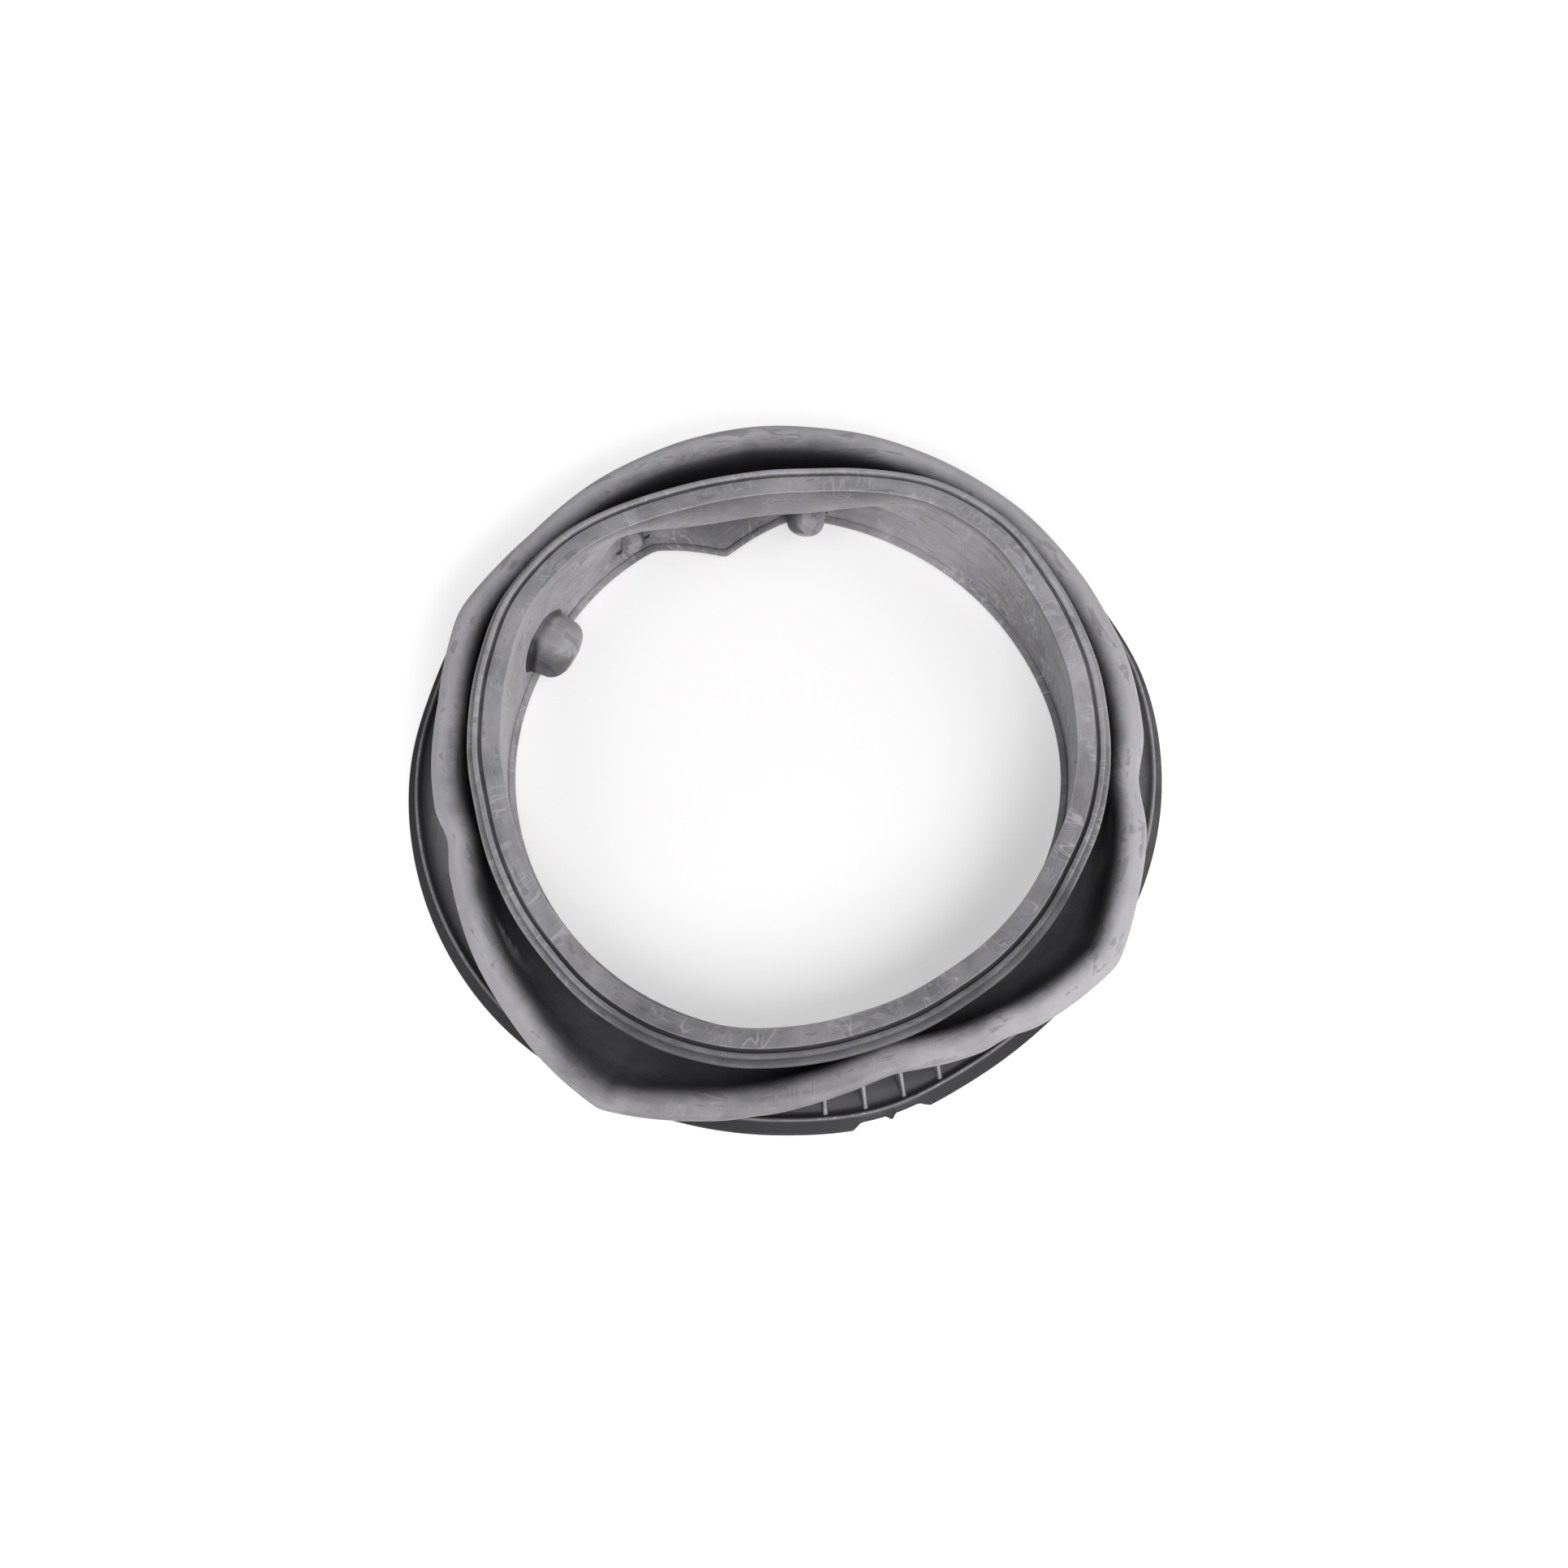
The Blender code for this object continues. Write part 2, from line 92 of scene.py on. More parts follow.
# %% [markdown]
# ## How the ring changes on its way round
#
# A real bellows seal is not a body of revolution. The lip is flattened at the top of the door,
# the fold is pulled out to three corners where it has spare length for the door's swing, and it
# puckers between them. Each of these is a smooth closed curve of the angle, so the whole ring
# stays one sheet however it bends.

# %% Shape of each ring
# shares of the ring's radius at equally spaced angles, from +X on
LIP_SHAPE = (1.009, 1.009, 1.015, 1.024, 1.005, 0.949, 0.915, 0.910, 0.936, 0.981, 0.996, 0.984,
             0.975, 0.972, 0.988, 1.016, 1.046, 1.058, 1.046, 1.030, 1.016, 1.012, 1.008, 1.011)
RIDGE_SHAPE = (1.022, 1.012, 1.003, 1.003, 0.990, 0.979, 0.994, 1.000, 0.999, 0.990, 0.999, 1.006)
FLANGE_SHAPE = (1.016, 1.013, 0.992, 0.992, 0.995, 0.997, 1.000, 1.000, 0.993, 0.979, 0.977, 0.979,
                1.000, 1.011, 1.018, 1.018, 1.007, 1.001, 0.999, 1.003, 0.985, 0.983, 0.999, 1.011)
RIM_SHAPE = (1.024, 1.002, 1.000, 1.016, 1.008, 0.982, 0.987, 0.993, 1.000, 1.007, 1.014, 1.021)


def around(values, angle):
    """Smooth closed curve through equally spaced values: a cubic between each pair of stations,
    whose slope at a station is half the step from the one before to the one after."""
    values = np.asarray(values)
    place = np.asarray(angle) / 360 * len(values)
    i = np.floor(place).astype(int)
    t = place - i
    a, b, c, d = (values[(i + k) % len(values)] for k in (-1, 0, 1, 2))
    return b + 0.5 * t * (c - a + t * (2 * a - 5 * b + 4 * c - d + t * (3 * (b - c) + d - a)))


print("lip at the far side:", round(1000 * LIP_RADIUS * float(around(LIP_SHAPE, 90)), 1), "mm")

# %% Corners, puckers, tongue and fold
# each corner: angle, how far it is pulled out, and its spread before and after
CORNERS = ((156.5, 0.0060, 17.0, 15.0), (244.5, 0.0295, 41.0, 42.0), (325.0, 0.0215, 36.0, 28.0))
CORNER_ROUND = 1.2
# each pucker: angle, depth and half width
PUCKERS = ((197.0, 0.0030, 6.0), (265.5, 0.0006, 4.0), (306.0, 0.0018, 5.0), (353.5, 0.0030, 9.0))
# angle and spread before and after
TONGUE_LENGTH, TONGUE, TONGUE_ROUND = 0.0178, (104.0, 15.5, 14.0), 0.7
FOLD = (95.0, 42.0, 42.0)
HOLLOW_DEPTH, HOLLOW = 0.0055, (121.5, 17.0, 16.0)       # the room round the pin, under the fold
HOLLOW_IN_VALLEY = 0.7                                   # share of it that the valley keeps
NOTCH_ANGLE, NOTCH_HALF, NOTCH_SLOPE, NOTCH_DEPTH = 286.4, 5.3, 0.7, 0.0034
POINTER_HALF, POINTER_SHARE = 0.75, 0.85


def spread(angle, centre, before, after):
    """Signed distance from a feature's centre, 1 where the feature ends on either side."""
    off = (np.asarray(angle) - centre + 180) % 360 - 180
    return off / np.where(off < 0, before, after)


def bell(angle, centre, before, after):
    """A squared cosine: 1 at the centre, 0 with no slope at both ends."""
    return np.cos(np.pi / 2 * np.clip(spread(angle, centre, before, after), -1, 1)) ** 2


def tent(angle, centre, before, after, rounding):
    """Straight flanks that meet in a rounded tip and die out softly: a hyperbola for the tip,
    and another one for the foot."""
    soft = 2 * rounding / (before + after)
    far = np.abs(spread(angle, centre, before, after))
    height = 1 + soft - np.sqrt(far ** 2 + soft ** 2)
    return 0.5 * (height + np.sqrt(height ** 2 + 0.004))


print("corners at", [corner[0] for corner in CORNERS], "puckers at", [pucker[0] for pucker in PUCKERS])

# %% Stations
STATIONS = 480


def station_angles(count):
    """Angles round the ring, closer together where it bends most: the inverse of the running
    total of a crowding curve."""
    fine = np.linspace(0, 360, 7201)
    crowd = 1 + bell(fine, TONGUE[0], 12, 12) + 1.6 * bell(fine, NOTCH_ANGLE, 8, 8)
    for centre, *_ in CORNERS:
        crowd += 1.6 * bell(fine, centre, 7, 7)
    for centre, *_ in PUCKERS:
        crowd += 0.6 * bell(fine, centre, 8, 8)
    total = np.concatenate(([0], np.cumsum(0.5 * (crowd[1:] + crowd[:-1]))))
    return np.interp(np.arange(count) / count * total[-1], total, fine)


angles = station_angles(STATIONS)
print("stations:", STATIONS, "from", round(float(np.diff(angles).min()), 2), "to",
      round(float(np.diff(angles).max()), 2), "degrees apart")

# %% [markdown]
# ## The lines that steer the section
#
# The sleeve is the wall that the laundry slides past. It runs straight from the drum lip up to
# the door lip, but at the far side it carries a fold of its own, with a recess under it. A second
# swept piece could be laid over a plain sleeve, and would leave a seam. Here four lines steer the
# wall, and the fold is only where two of them move apart.


# %% Sleeve
def sleeve(angle):
    """Radii and heights of the sleeve's inner face from the drum lip up: ledge, back, fold, crease.
    It is straight from crease to ledge, but for the fold and the recess under it."""
    top = LIP_HEIGHT + LIP_RISE
    folded = 1 - (1 - bell(angle, *FOLD)) ** FOLD_CREST
    crease = LIP_RADIUS * around(LIP_SHAPE, angle) - LIP_WIDTH
    ledge = RIM_RADIUS * around(RIM_SHAPE, angle) + 1.2 * RIM_STEP

    def straight(height):
        return ledge + (crease - ledge) * (height - RIM_HEIGHT) / (top - RIM_HEIGHT)

    fold_height = top - FOLD_START - (FOLD_DROP - FOLD_START) * folded ** FOLD_FADE
    fold = straight(fold_height) * (1 - folded) + (crease - FOLD_PROUD) * folded
    back = straight(VALLEY_HEIGHT) + RECESS * folded + HOLLOW_DEPTH * bell(angle, *HOLLOW)
    return (ledge, back, fold, crease), (RIM_HEIGHT, VALLEY_HEIGHT, fold_height, top), folded


def wall_radius(angle, z):
    """Radius of the sleeve's inner face at heights z: straight between its four corner lines."""
    (ledge, back, fold, crease), (h0, h1, h2, h3), _ = sleeve(angle)
    out = ledge + (back - ledge) * np.clip((z - h0) / (h1 - h0), 0, 1)
    out = out + (fold - back) * np.clip((z - h1) / (h2 - h1), 0, 1)
    return out + (crease - fold) * np.clip((z - h2) / (h3 - h2), 0, 1)


print("sleeve half way up, far side:", round(1000 * float(wall_radius(90.0, LIP_HEIGHT / 2)), 1), "mm")


# %% Steering lines
def features(angle):
    """The radii and reaches that steer the section, each one a value per station."""
    reach = sum(size * tent(angle, centre, before, after, CORNER_ROUND)
                for centre, size, before, after in CORNERS)
    pucker = sum(depth * bell(angle, centre, width, width) for centre, depth, width in PUCKERS)
    flange = FLANGE_RADIUS * around(FLANGE_SHAPE, angle)
    off = np.abs((angle - NOTCH_ANGLE + 180) % 360 - 180)
    notch = np.clip((NOTCH_HALF + NOTCH_SLOPE - off) / (2 * NOTCH_SLOPE), 0, 1)
    notch = notch - POINTER_SHARE * np.clip(1 - off / POINTER_HALF, 0, 1)
    (ledge, back, fold, crease), (*_, fold_height, top), folded = sleeve(angle)
    return {
        "lip": crease + LIP_WIDTH, "crease": crease, "top": top, "folded": folded,
        "fold": fold, "fold_height": fold_height, "back": back,
        "reach": reach, "pucker": pucker,
        "ridge": RIDGE_RADIUS * around(RIDGE_SHAPE, angle) + reach - pucker,
        "waist": WAIST_RADIUS + WAIST_SWELL * reach,
        "flange": flange, "upper": flange - FLANGE_STEP, "edge": flange - NOTCH_DEPTH * notch,
        "rim": ledge - 1.2 * RIM_STEP - TONGUE_LENGTH * tent(angle, *TONGUE, TONGUE_ROUND),
    }


lines = features(angles)
print("ridge from", round(1000 * float(lines["ridge"].min()), 1), "to",
      round(1000 * float(lines["ridge"].max()), 1), "mm from the axis")

# %% [markdown]
# ## The section
#
# A cut through the ring shows one closed outline: the door lip with its bead channel and its two
# flanges, the sleeve that goes straight down to the drum lip, the valley that leaves the sleeve
# half way, the rolled ridge, the waist, and the tub flange with the groove for its clamp. It
# could be swept as one fixed profile along a path, but here each of its corners moves by its own
# rule, so the outline is worked out anew at every station. Corners become curves: real moulds
# have no sharp edges, and it's the small roundings that catch the light.


# %% Helpers for outlines
def at(radius, height):
    """A corner of the section, radius and height, with one pair of values per station."""
    return np.stack(np.broadcast_arrays(radius, height))


def rounded(points, turns, steps):
    """Each inner corner of the open polyline becomes a quadratic curve between two points on its
    sides, a turn's length away or less than half of a short side."""
    out = [points[0]]
    for a, b, c, turn, count in zip(points[:-2], points[1:-1], points[2:], turns, steps):
        start, end = (b + (p - b) * np.minimum(0.46, turn / np.hypot(*(p - b))) for p in (a, c))
        for k in range(count + 1):
            t = k / count
            out.append((1 - t) ** 2 * start + 2 * t * (1 - t) * b + t ** 2 * end)
    out.append(points[-1])
    return np.array(out)


def between(corners, before, after):
    """A stretch of outline from its (corner, turn, steps) rows, without its two neighbours."""
    places, turns, steps = zip(*corners)
    return rounded(np.array([before, *places, after]), turns, steps)[1:-1]


def offset(line, distance):
    """The line moved sideways along its own normals, to its left for a positive distance."""
    along = np.gradient(line, axis=0)
    along /= np.hypot(along[:, 0], along[:, 1])[:, None]
    return line + distance * np.stack([-along[:, 1], along[:, 0]], axis=1)


elbow = rounded(np.array([at(0.0, 0.0), at(1.0, 0.0), at(1.0, 1.0)]), (0.4,), (4,))
print("a right angle becomes", len(elbow), "points")


# %% Corners of the door lip
def lip_corners(f):
    """From the crease over the bead channel, down the edge and round both flanges to the bellows."""
    lip, crease = f["lip"], f["crease"]
    bead = lip - BEAD_INSET
    channel = LIP_HEIGHT - BEAD_DEPTH
    return [
        (at(crease, f["top"]), 0.0008, 4),
        (at(bead - 0.58 * BEAD_WIDTH, LIP_HEIGHT + 0.1 * LIP_RISE), 0.0006, 2),
        (at(bead - 0.40 * BEAD_WIDTH, channel), 0.0004, 1),
        (at(bead + 0.40 * BEAD_WIDTH, channel), 0.0004, 1),
        (at(bead + 0.58 * BEAD_WIDTH, LIP_HEIGHT), 0.0006, 2),
        (at(lip, LIP_HEIGHT + 0.0001), 0.0013, 4),
        (at(lip - 0.0001, SLOT_TOP), 0.0010, 3),
        (at(lip - SLOT_DEPTH, SLOT_TOP - 0.1 * SLOT_HEIGHT), 0.0006, 2),
        (at(lip - SLOT_DEPTH, SLOT_FLOOR + 0.1 * SLOT_HEIGHT), 0.0006, 2),
        (at(lip + LOWER_PROUD, SLOT_FLOOR - 0.0001), 0.0011, 4),
        (at(lip + LOWER_PROUD, SLOT_FLOOR - 0.92 * LOWER_FLANGE), 0.0011, 3),
        (at(lip - SLOT_DEPTH - 0.8 * WALL, SLOT_FLOOR - LOWER_FLANGE), 0.0024, 3),
    ]


print("corners of the lip:", len(lip_corners(lines)))

# %% Middle line of the bellows
BELLOWS_TURNS = (0.0030, 0.0045, 0.0085, 0.0095, 0.0068, 0.0060, 0.0050)
BELLOWS_STEPS = (4, 5, 6, 7, 8, 5, 4)


def bellows_line(f, angle):
    """From the lip down the back of the sleeve, along the valley, up and over the ridge, and down
    past the waist to the tub flange."""
    crease, back, ridge, reach, waist = (f[k] for k in ("crease", "back", "ridge", "reach", "waist"))
    shoulder = ridge + f["pucker"] - RIDGE_WIDTH + PINCH * reach
    hollow = HOLLOW_IN_VALLEY * HOLLOW_DEPTH * bell(angle, *HOLLOW)
    valley_end = np.maximum(shoulder - VALLEY_LEAN - POCKET_LEAN * reach,
                            back + 0.5 * WALL + VALLEY_WIDTH - hollow)
    return np.array([
        at(crease + 1.1 * WALL, SLOT_FLOOR - LOWER_FLANGE - 0.6 * WALL),
        at(f["fold"] + 0.6 * WALL, np.minimum(f["fold_height"], f["top"] - FOLD_ROOT)),
        at(back + 0.6 * WALL, VALLEY_HEIGHT),
        at(valley_end, VALLEY_HEIGHT - VALLEY_DIP + POCKET_RISE * reach),
        at(np.maximum(shoulder, valley_end), RIDGE_HEIGHT + RIDGE_TILT),
        at(ridge, RIDGE_HEIGHT),
        at(ridge - 0.5 * WALL, RIDGE_HEIGHT - RIDGE_DROP),
        at(waist, WAIST_HEIGHT),
        at(waist + 0.4 * WALL, FLANGE_TOP + WALL),
    ])


print("corners of the bellows:", len(bellows_line(lines, angles)))


# %% Corners of the tub flange and the sleeve
def flange_corners(f):
    """From the bellows over the upright edge, round the clamp groove and along the underside."""
    upper, edge, flange = f["upper"], f["edge"], f["flange"]
    groove = upper - CLAMP_DEPTH
    recess = FLANGE_TOP - EDGE_LIP
    return [
        (at(upper - 1.5 * EDGE_THICKNESS, recess - 0.0004), 0.0016, 3),
        (at(upper - 0.55 * EDGE_THICKNESS, FLANGE_TOP - 0.0001), 0.0008, 3),
        (at(upper, FLANGE_TOP - 0.0002), 0.0008, 3),
        (at(upper, FLANGE_TOP - EDGE_THICKNESS), 0.0008, 2),
        (at(groove, recess - 0.8 * WALL), 0.0010, 2),
        (at(groove, 1.5 * EDGE_THICKNESS), 0.0010, 2),
        (at(edge, 0.95 * EDGE_THICKNESS), 0.0007, 3),
        (at(edge, 0), 0.0004, 2),
        (at(flange - FLANGE_WIDTH, 0), 0.0008, 2),
        (at(flange - FLANGE_WIDTH + 0.4 * WALL, recess - 0.8 * WALL), 0.0020, 2),
    ]


def sleeve_corners(f):
    """From under the valley down the outside of the sleeve, round the drum lip and up its inner
    face to the fold."""
    back, rim = f["back"], f["rim"]
    return [
        (at(back + 0.9 * WALL, VALLEY_HEIGHT - 0.9 * WALL), 0.0020, 3),
        (at(rim + 1.3 * RIM_STEP + 0.8 * WALL, RIM_HEIGHT - 0.4 * WALL), 0.0010, 2),
        (at(rim + 0.2 * WALL, RIM_HEIGHT - WALL), 0.0004, 2),
        (at(rim, RIM_HEIGHT + 0.15 * WALL), 0.0005, 3),
        (at(rim + RIM_STEP, RIM_HEIGHT + 0.45 * WALL), 0.0005, 2),
        (at(rim + 1.15 * RIM_STEP, RIM_HEIGHT + 0.05 * WALL), 0.0003, 1),
        (at(back, VALLEY_HEIGHT), 0.0080, 7),
        (at(f["fold"], f["fold_height"]), 0.0028, 6),
    ]


print("corners of flange and sleeve:", len(flange_corners(lines)), len(sleeve_corners(lines)))


# %% Closed outline at every angle
def section(f, angle):
    """Closed outline (point, r-z, station) from the crease over the lip, down the outside, round
    the foot, up under the bellows, down the sleeve and up its inner face; and point zones."""
    middle = rounded(bellows_line(f, angle), BELLOWS_TURNS, BELLOWS_STEPS)
    outside = offset(middle, WALL / 2)
    branch = 1 + sum(count + 1 for count in BELLOWS_STEPS[:2])     # where the sleeve leaves it
    inside = offset(middle, -WALL / 2)[branch:][::-1]
    head, foot, inner = lip_corners(f), flange_corners(f), sleeve_corners(f)
    parts = {"head": between(head, inner[-1][0], outside[0]), "outside": outside,
             "foot": between(foot, outside[-1], inside[0]), "inside": inside,
             "inner": between(inner, inside[-1], head[0][0])}
    zones = np.concatenate([[name] * len(line) for name, line in parts.items()])
    return np.concatenate(list(parts.values())), zones


outline, zones = section(lines, angles)
print("section points:", len(outline), {str(z): int((zones == z).sum()) for z in np.unique(zones)},
      "triangles:", 2 * len(outline) * STATIONS)

# %% [markdown]
# ## From sections to a skin
#
# The loft is a grid: one direction goes round the ring and the other round the section, and both
# close on themselves, so the skin has no seam and no end. Soft rubber never lies quite true
# either. A few slow waves, worked out from sines with fixed phases, make it sag and swell by a
# few tenths of a millimetre.


# %% Helpers for meshes
def grid_faces(rows, columns, close_rows=True):
    """Quads of a grid whose vertices are numbered row by row: corner (i, j) joins (i+1, j),
    (i+1, j+1) and (i, j+1). The last column joins the first, and so does the last row where it
    closes."""
    i = np.arange(rows if close_rows else rows - 1)
    a, b = np.meshgrid(i, np.arange(columns), indexing="ij")
    c, d = (a + 1) % rows, (b + 1) % columns
    quads = [a * columns + b, c * columns + b, c * columns + d, a * columns + d]
    return np.stack(quads, -1).reshape(-1, 4).tolist()


def tube_faces(rows, columns):
    """Quads of a tube of closed loops, one loop a row, and a face over each of its two ends."""
    total = rows * columns
    ends = [list(range(columns)), list(range(total - 1, total - columns - 1, -1))]
    return grid_faces(rows, columns, close_rows=False) + ends


def mesh_object(name, points, faces):
    """A mesh object from an array of points and a list of faces, with its faces turned out."""
    mesh = bpy.data.meshes.new(name)
    mesh.from_pydata(np.asarray(points, float).tolist(), [], faces)
    shape = bmesh.new()
    shape.from_mesh(mesh)
    bmesh.ops.recalc_face_normals(shape, faces=shape.faces)
    shape.to_mesh(mesh)
    shape.free()
    mesh.shade_smooth()
    piece = bpy.data.objects.new(name, mesh)
    bpy.context.scene.collection.objects.link(piece)
    return piece


def give(piece, name, values, kind="FLOAT"):
    """Stores one value, or one vector, per vertex under a name that the material reads."""
    layer = piece.data.attributes.new(name, kind, "POINT")
    key = "value" if kind == "FLOAT" else "vector"
    layer.data.foreach_set(key, np.ascontiguousarray(values, np.float32).ravel())


def placed(out, side, height, angle):
    """Points in the seal's frame. In each direction from the tub's axis, out is the distance that
    way, and side the distance across it, counter-clockwise."""
    c, s = np.cos(np.radians(angle)), np.sin(np.radians(angle))
    x, y = AXIS[0] + out * c - side * s, AXIS[1] + out * s + side * c
    return np.stack(np.broadcast_arrays(x, y, height), -1)


print("a tube of 3 loops of 4 points:", len(tube_faces(3, 4)), "faces")

# %% The skin of the seal
SWAYS = ((7, 0.00022, 1.3, 0), (13, 0.00016, 4.1, 0), (23, 0.00010, 0.6, 40))
HEAVES = ((5, 0.00020, 2.2, 0), (17, 0.00010, 5.0, 0))
FREE_FROM, FREE_OVER = 0.014, 0.020      # height where the rubber starts to give, and over how much
CREASE_SHARE, CREASE_HALF = 0.05, 1.1    # fold line at a corner: share of its reach, half width


def waves(rows, turn, height):
    """Sum of sines round the ring, each with its count, size, phase and climb per metre up."""
    return sum(size * np.sin(count * turn + phase + climb * height)
               for count, size, phase, climb in rows)


radius, height = outline[:, 0], outline[:, 1]
turn = np.radians(angles)[None, :]
on_outside = (zones == "outside")[:, None]
free = np.clip((height - FREE_FROM) / FREE_OVER, 0, 1) * (zones != "foot")[:, None]
radius = radius + free * waves(SWAYS, turn, height)
height = height + free * waves(HEAVES, turn, height)
# each pulled-out corner has a faint fold line that runs in from its tip across the pocket
pocket = on_outside * np.clip((radius - LIP_RADIUS) / 0.015, 0, 1)
for centre, size, *_ in CORNERS:
    line = np.exp(-((angles[None, :] - centre) / CREASE_HALF) ** 2)
    height = height - CREASE_SHARE * size * pocket * line
points = placed(radius, 0, height, angles[None, :])
skin = mesh_object("door_seal_skin", points.reshape(-1, 3), grid_faces(*radius.shape))
print("skin:", len(skin.data.vertices), "points,", 2 * len(skin.data.polygons), "triangles")

# %% [markdown]
# ## Where the powder lies, and where shade is painted
#
# New rubber parts are dusted with talc so that they don't stick to the mould or to each other.
# Bare EPDM is nearly black; the talc turns it grey wherever it stays, which is on the lip, on top
# of the ridge and on the sleeve, and hardly at all down in the valley. The same note also carries
# painted shade: in the valley, the channels and the recesses, under the fold, round the pin, at the
# near side and on the right of the sleeve. The material needs to know where it is, so each vertex of
# the skin carries four notes: how much powder and painted shade there is, from 0 for the bare, darkest
# rubber to 1, how much painted highlight it has along an edge or line, how much it has been
# handled, and a position that runs along the ring and across the section, which lets the streaks
# follow the folds. The ribs and the flash go without the note on handling, which the material
# reads as 0.


# %% Powder and painted shade on lip and flange
def ramp(value, low, high):
    """0 below low, 1 above high and a smooth step between."""
    t = np.clip((value - low) / (high - low), 0, 1)
    return t * t * (3 - 2 * t)


def lip_powder_and_shade(f, radius, height, near):
    """Dusted all over, with painted shade in the bead channel and the slot, and painted shade over the
    near side, deepest along its outer edge."""
    bead = ramp(LIP_HEIGHT - height, 0.0009, 0.0018) * (radius < f["lip"] - 0.0020)
    slot = ramp(LIP_HEIGHT - height, 0.0032, 0.0038) * (radius < f["lip"] + 0.0002)
    proud = ramp(radius, f["lip"] - 0.0036, f["lip"] - 0.0030)
    return 0.70 - (0.34 + 0.09 * proud) * near - 0.52 * np.maximum(bead, slot)


def flange_painted_light(f, radius, height, angle):
    """Bare, but painted lighter on the right, where the light falls, with a painted highlight along
    the upper edge.
    """
    line = np.exp(-((radius - f["upper"] + 0.0009) / 0.0007) ** 2) * ramp(height, 0.0105, 0.0116)
    return 0.14 * bell(angle, 5, 40, 40) + 0.50 * line


around_ring = angles[None, :]
# the near side gets painted shade, on the lip and on the wall under the ridge
near_side = np.clip(1.6 * bell(around_ring, 290, 110, 90), 0, 1)
on_lip = lip_powder_and_shade(lines, radius, height, near_side)[zones == "head"]
print("powder on the lip:", round(float(on_lip.min()), 2), "to", round(float(on_lip.max()), 2))


# %% Powder and painted shade on bellows and sleeve
def bellows_powder_and_shade(f, radius, height, angle, near):
    """Black in the valley, bare rubber under painted shade, then dusted up to the ridge's outer edge
    through a gradient of painted shade, and half in painted shade beyond it at the near side. The
    wall under the ridge has a haze of its own, painted lighter at the right and left and darker at
    the near side, which ends above the tub flange; painted shade darkens the recess by the flange's
    upright edge."""
    # inside: how far in from the crest, pushed out at the near-left corner so that the painted shade
    # reaches nearer the crest there
    inside = f["ridge"] - radius + 0.0045 * bell(angle, 242, 16, 14)
    climb = ramp(0.0165 - inside, 0.0, 0.0125) * ramp(height, 0.022, 0.034)
    # the climb paints the valley's shade as a gradient up to the crest; the crest is painted darker at
    # the near corner and lighter on the right
    most = 0.92 - 0.46 * bell(angle, 264, 48, 60) + 0.12 * bell(angle, 345, 50, 50)
    haze = 0.03 + 0.06 * bell(angle, 238, 40, 30) + 0.04 * bell(angle, 320, 40, 40)
    # outer: painted shade beyond the crest at the near side
    outer = ramp(radius, f["ridge"] - 0.0030, f["ridge"] + 0.0012) * ramp(0.042 - height, 0.0, 0.012)
    powder_and_shade = haze + (most - haze) * climb - 0.30 * outer * bell(angle, 278, 30, 30)
    below = ramp(0.039 - height, 0, 0.011) * ramp(0.017 - f["reach"], 0, 0.009)
    below = below * (radius > f["waist"] - 0.004)
    # low_wall: painted lighter at the right and left, where the light falls, and darker at the near side
    low_wall = 0.26 - 0.16 * near + 0.50 * bell(angle, 0, 16, 16) + 0.36 * bell(angle, 195, 40, 60)
    powder_and_shade = powder_and_shade + below * (low_wall - powder_and_shade)
    # at_flange: painted shade in the recess next to the flange's upright edge
    at_flange = (height < 0.016) * ramp(radius, f["upper"] - 0.009, f["upper"] - 0.003)
    return powder_and_shade - 0.28 * at_flange


def sleeve_powder_and_shade(f, height, angle):
    """Well dusted on the left and painted darker, as shade, on the right, under the fold and round the
    pin. The tongue's face is in painted shade above its ledge, which has a painted highlight."""
    powder_and_shade = 0.72 - 0.34 * bell(angle, 12, 50, 42)
    powder_and_shade = powder_and_shade - 0.22 * ramp(f["fold_height"] - height, -0.001, 0.004) * f["folded"]
    tongue = np.clip(1.6 * bell(angle, 103, 18, 17), 0, 1)
    powder_and_shade = powder_and_shade - 0.40 * ramp(0.024 - height, 0.0, 0.008) * tongue
    powder_and_shade = powder_and_shade + 0.30 * ramp(0.0052 - height, 0.0, 0.0010) * tongue
    # painted contact shade round the pin
    powder_and_shade = powder_and_shade - 0.30 * ramp(0.026 - height, 0.0, 0.010) * bell(angle, 121.5, 9, 8)
    return powder_and_shade + 0.10 * ramp(height, 0.044, 0.056)


by_zone = {
    "head": lip_powder_and_shade(lines, radius, height, near_side),
    "outside": bellows_powder_and_shade(lines, radius, height, around_ring, near_side),
    "foot": flange_painted_light(lines, radius, height, around_ring),
    "inner": sleeve_powder_and_shade(lines, height, around_ring),
}
HIDDEN_POWDER = 0.40                      # under the bellows, where nothing shows
powder_and_shade = np.full(radius.shape, HIDDEN_POWDER)
for name, values in by_zone.items():
    powder_and_shade = np.where(zones[:, None] == name, values, powder_and_shade)
powder_and_shade = np.clip(powder_and_shade, 0, 1)
print("mean powder:", {name: round(float(powder_and_shade[zones == name].mean()), 2) for name in by_zone})

# %% Painted highlights and shade along lines
# distance round the section, and the position that the streaks follow
FLOW_RADIUS = 0.16
step = np.hypot(np.diff(outline[:, 0], axis=0, append=outline[:1, 0]),
                np.diff(outline[:, 1], axis=0, append=outline[:1, 1]))
across = np.concatenate([np.zeros((1, STATIONS)), np.cumsum(step, axis=0)[:-1]])
flow = np.stack([np.broadcast_to(FLOW_RADIUS * np.cos(turn), radius.shape),
                 np.broadcast_to(FLOW_RADIUS * np.sin(turn), radius.shape), across], -1)


def streak(distance, width):
    """1 on a line and 0 away from it: a Gaussian of the distance over the width."""
    return np.exp(-(distance / width) ** 2)


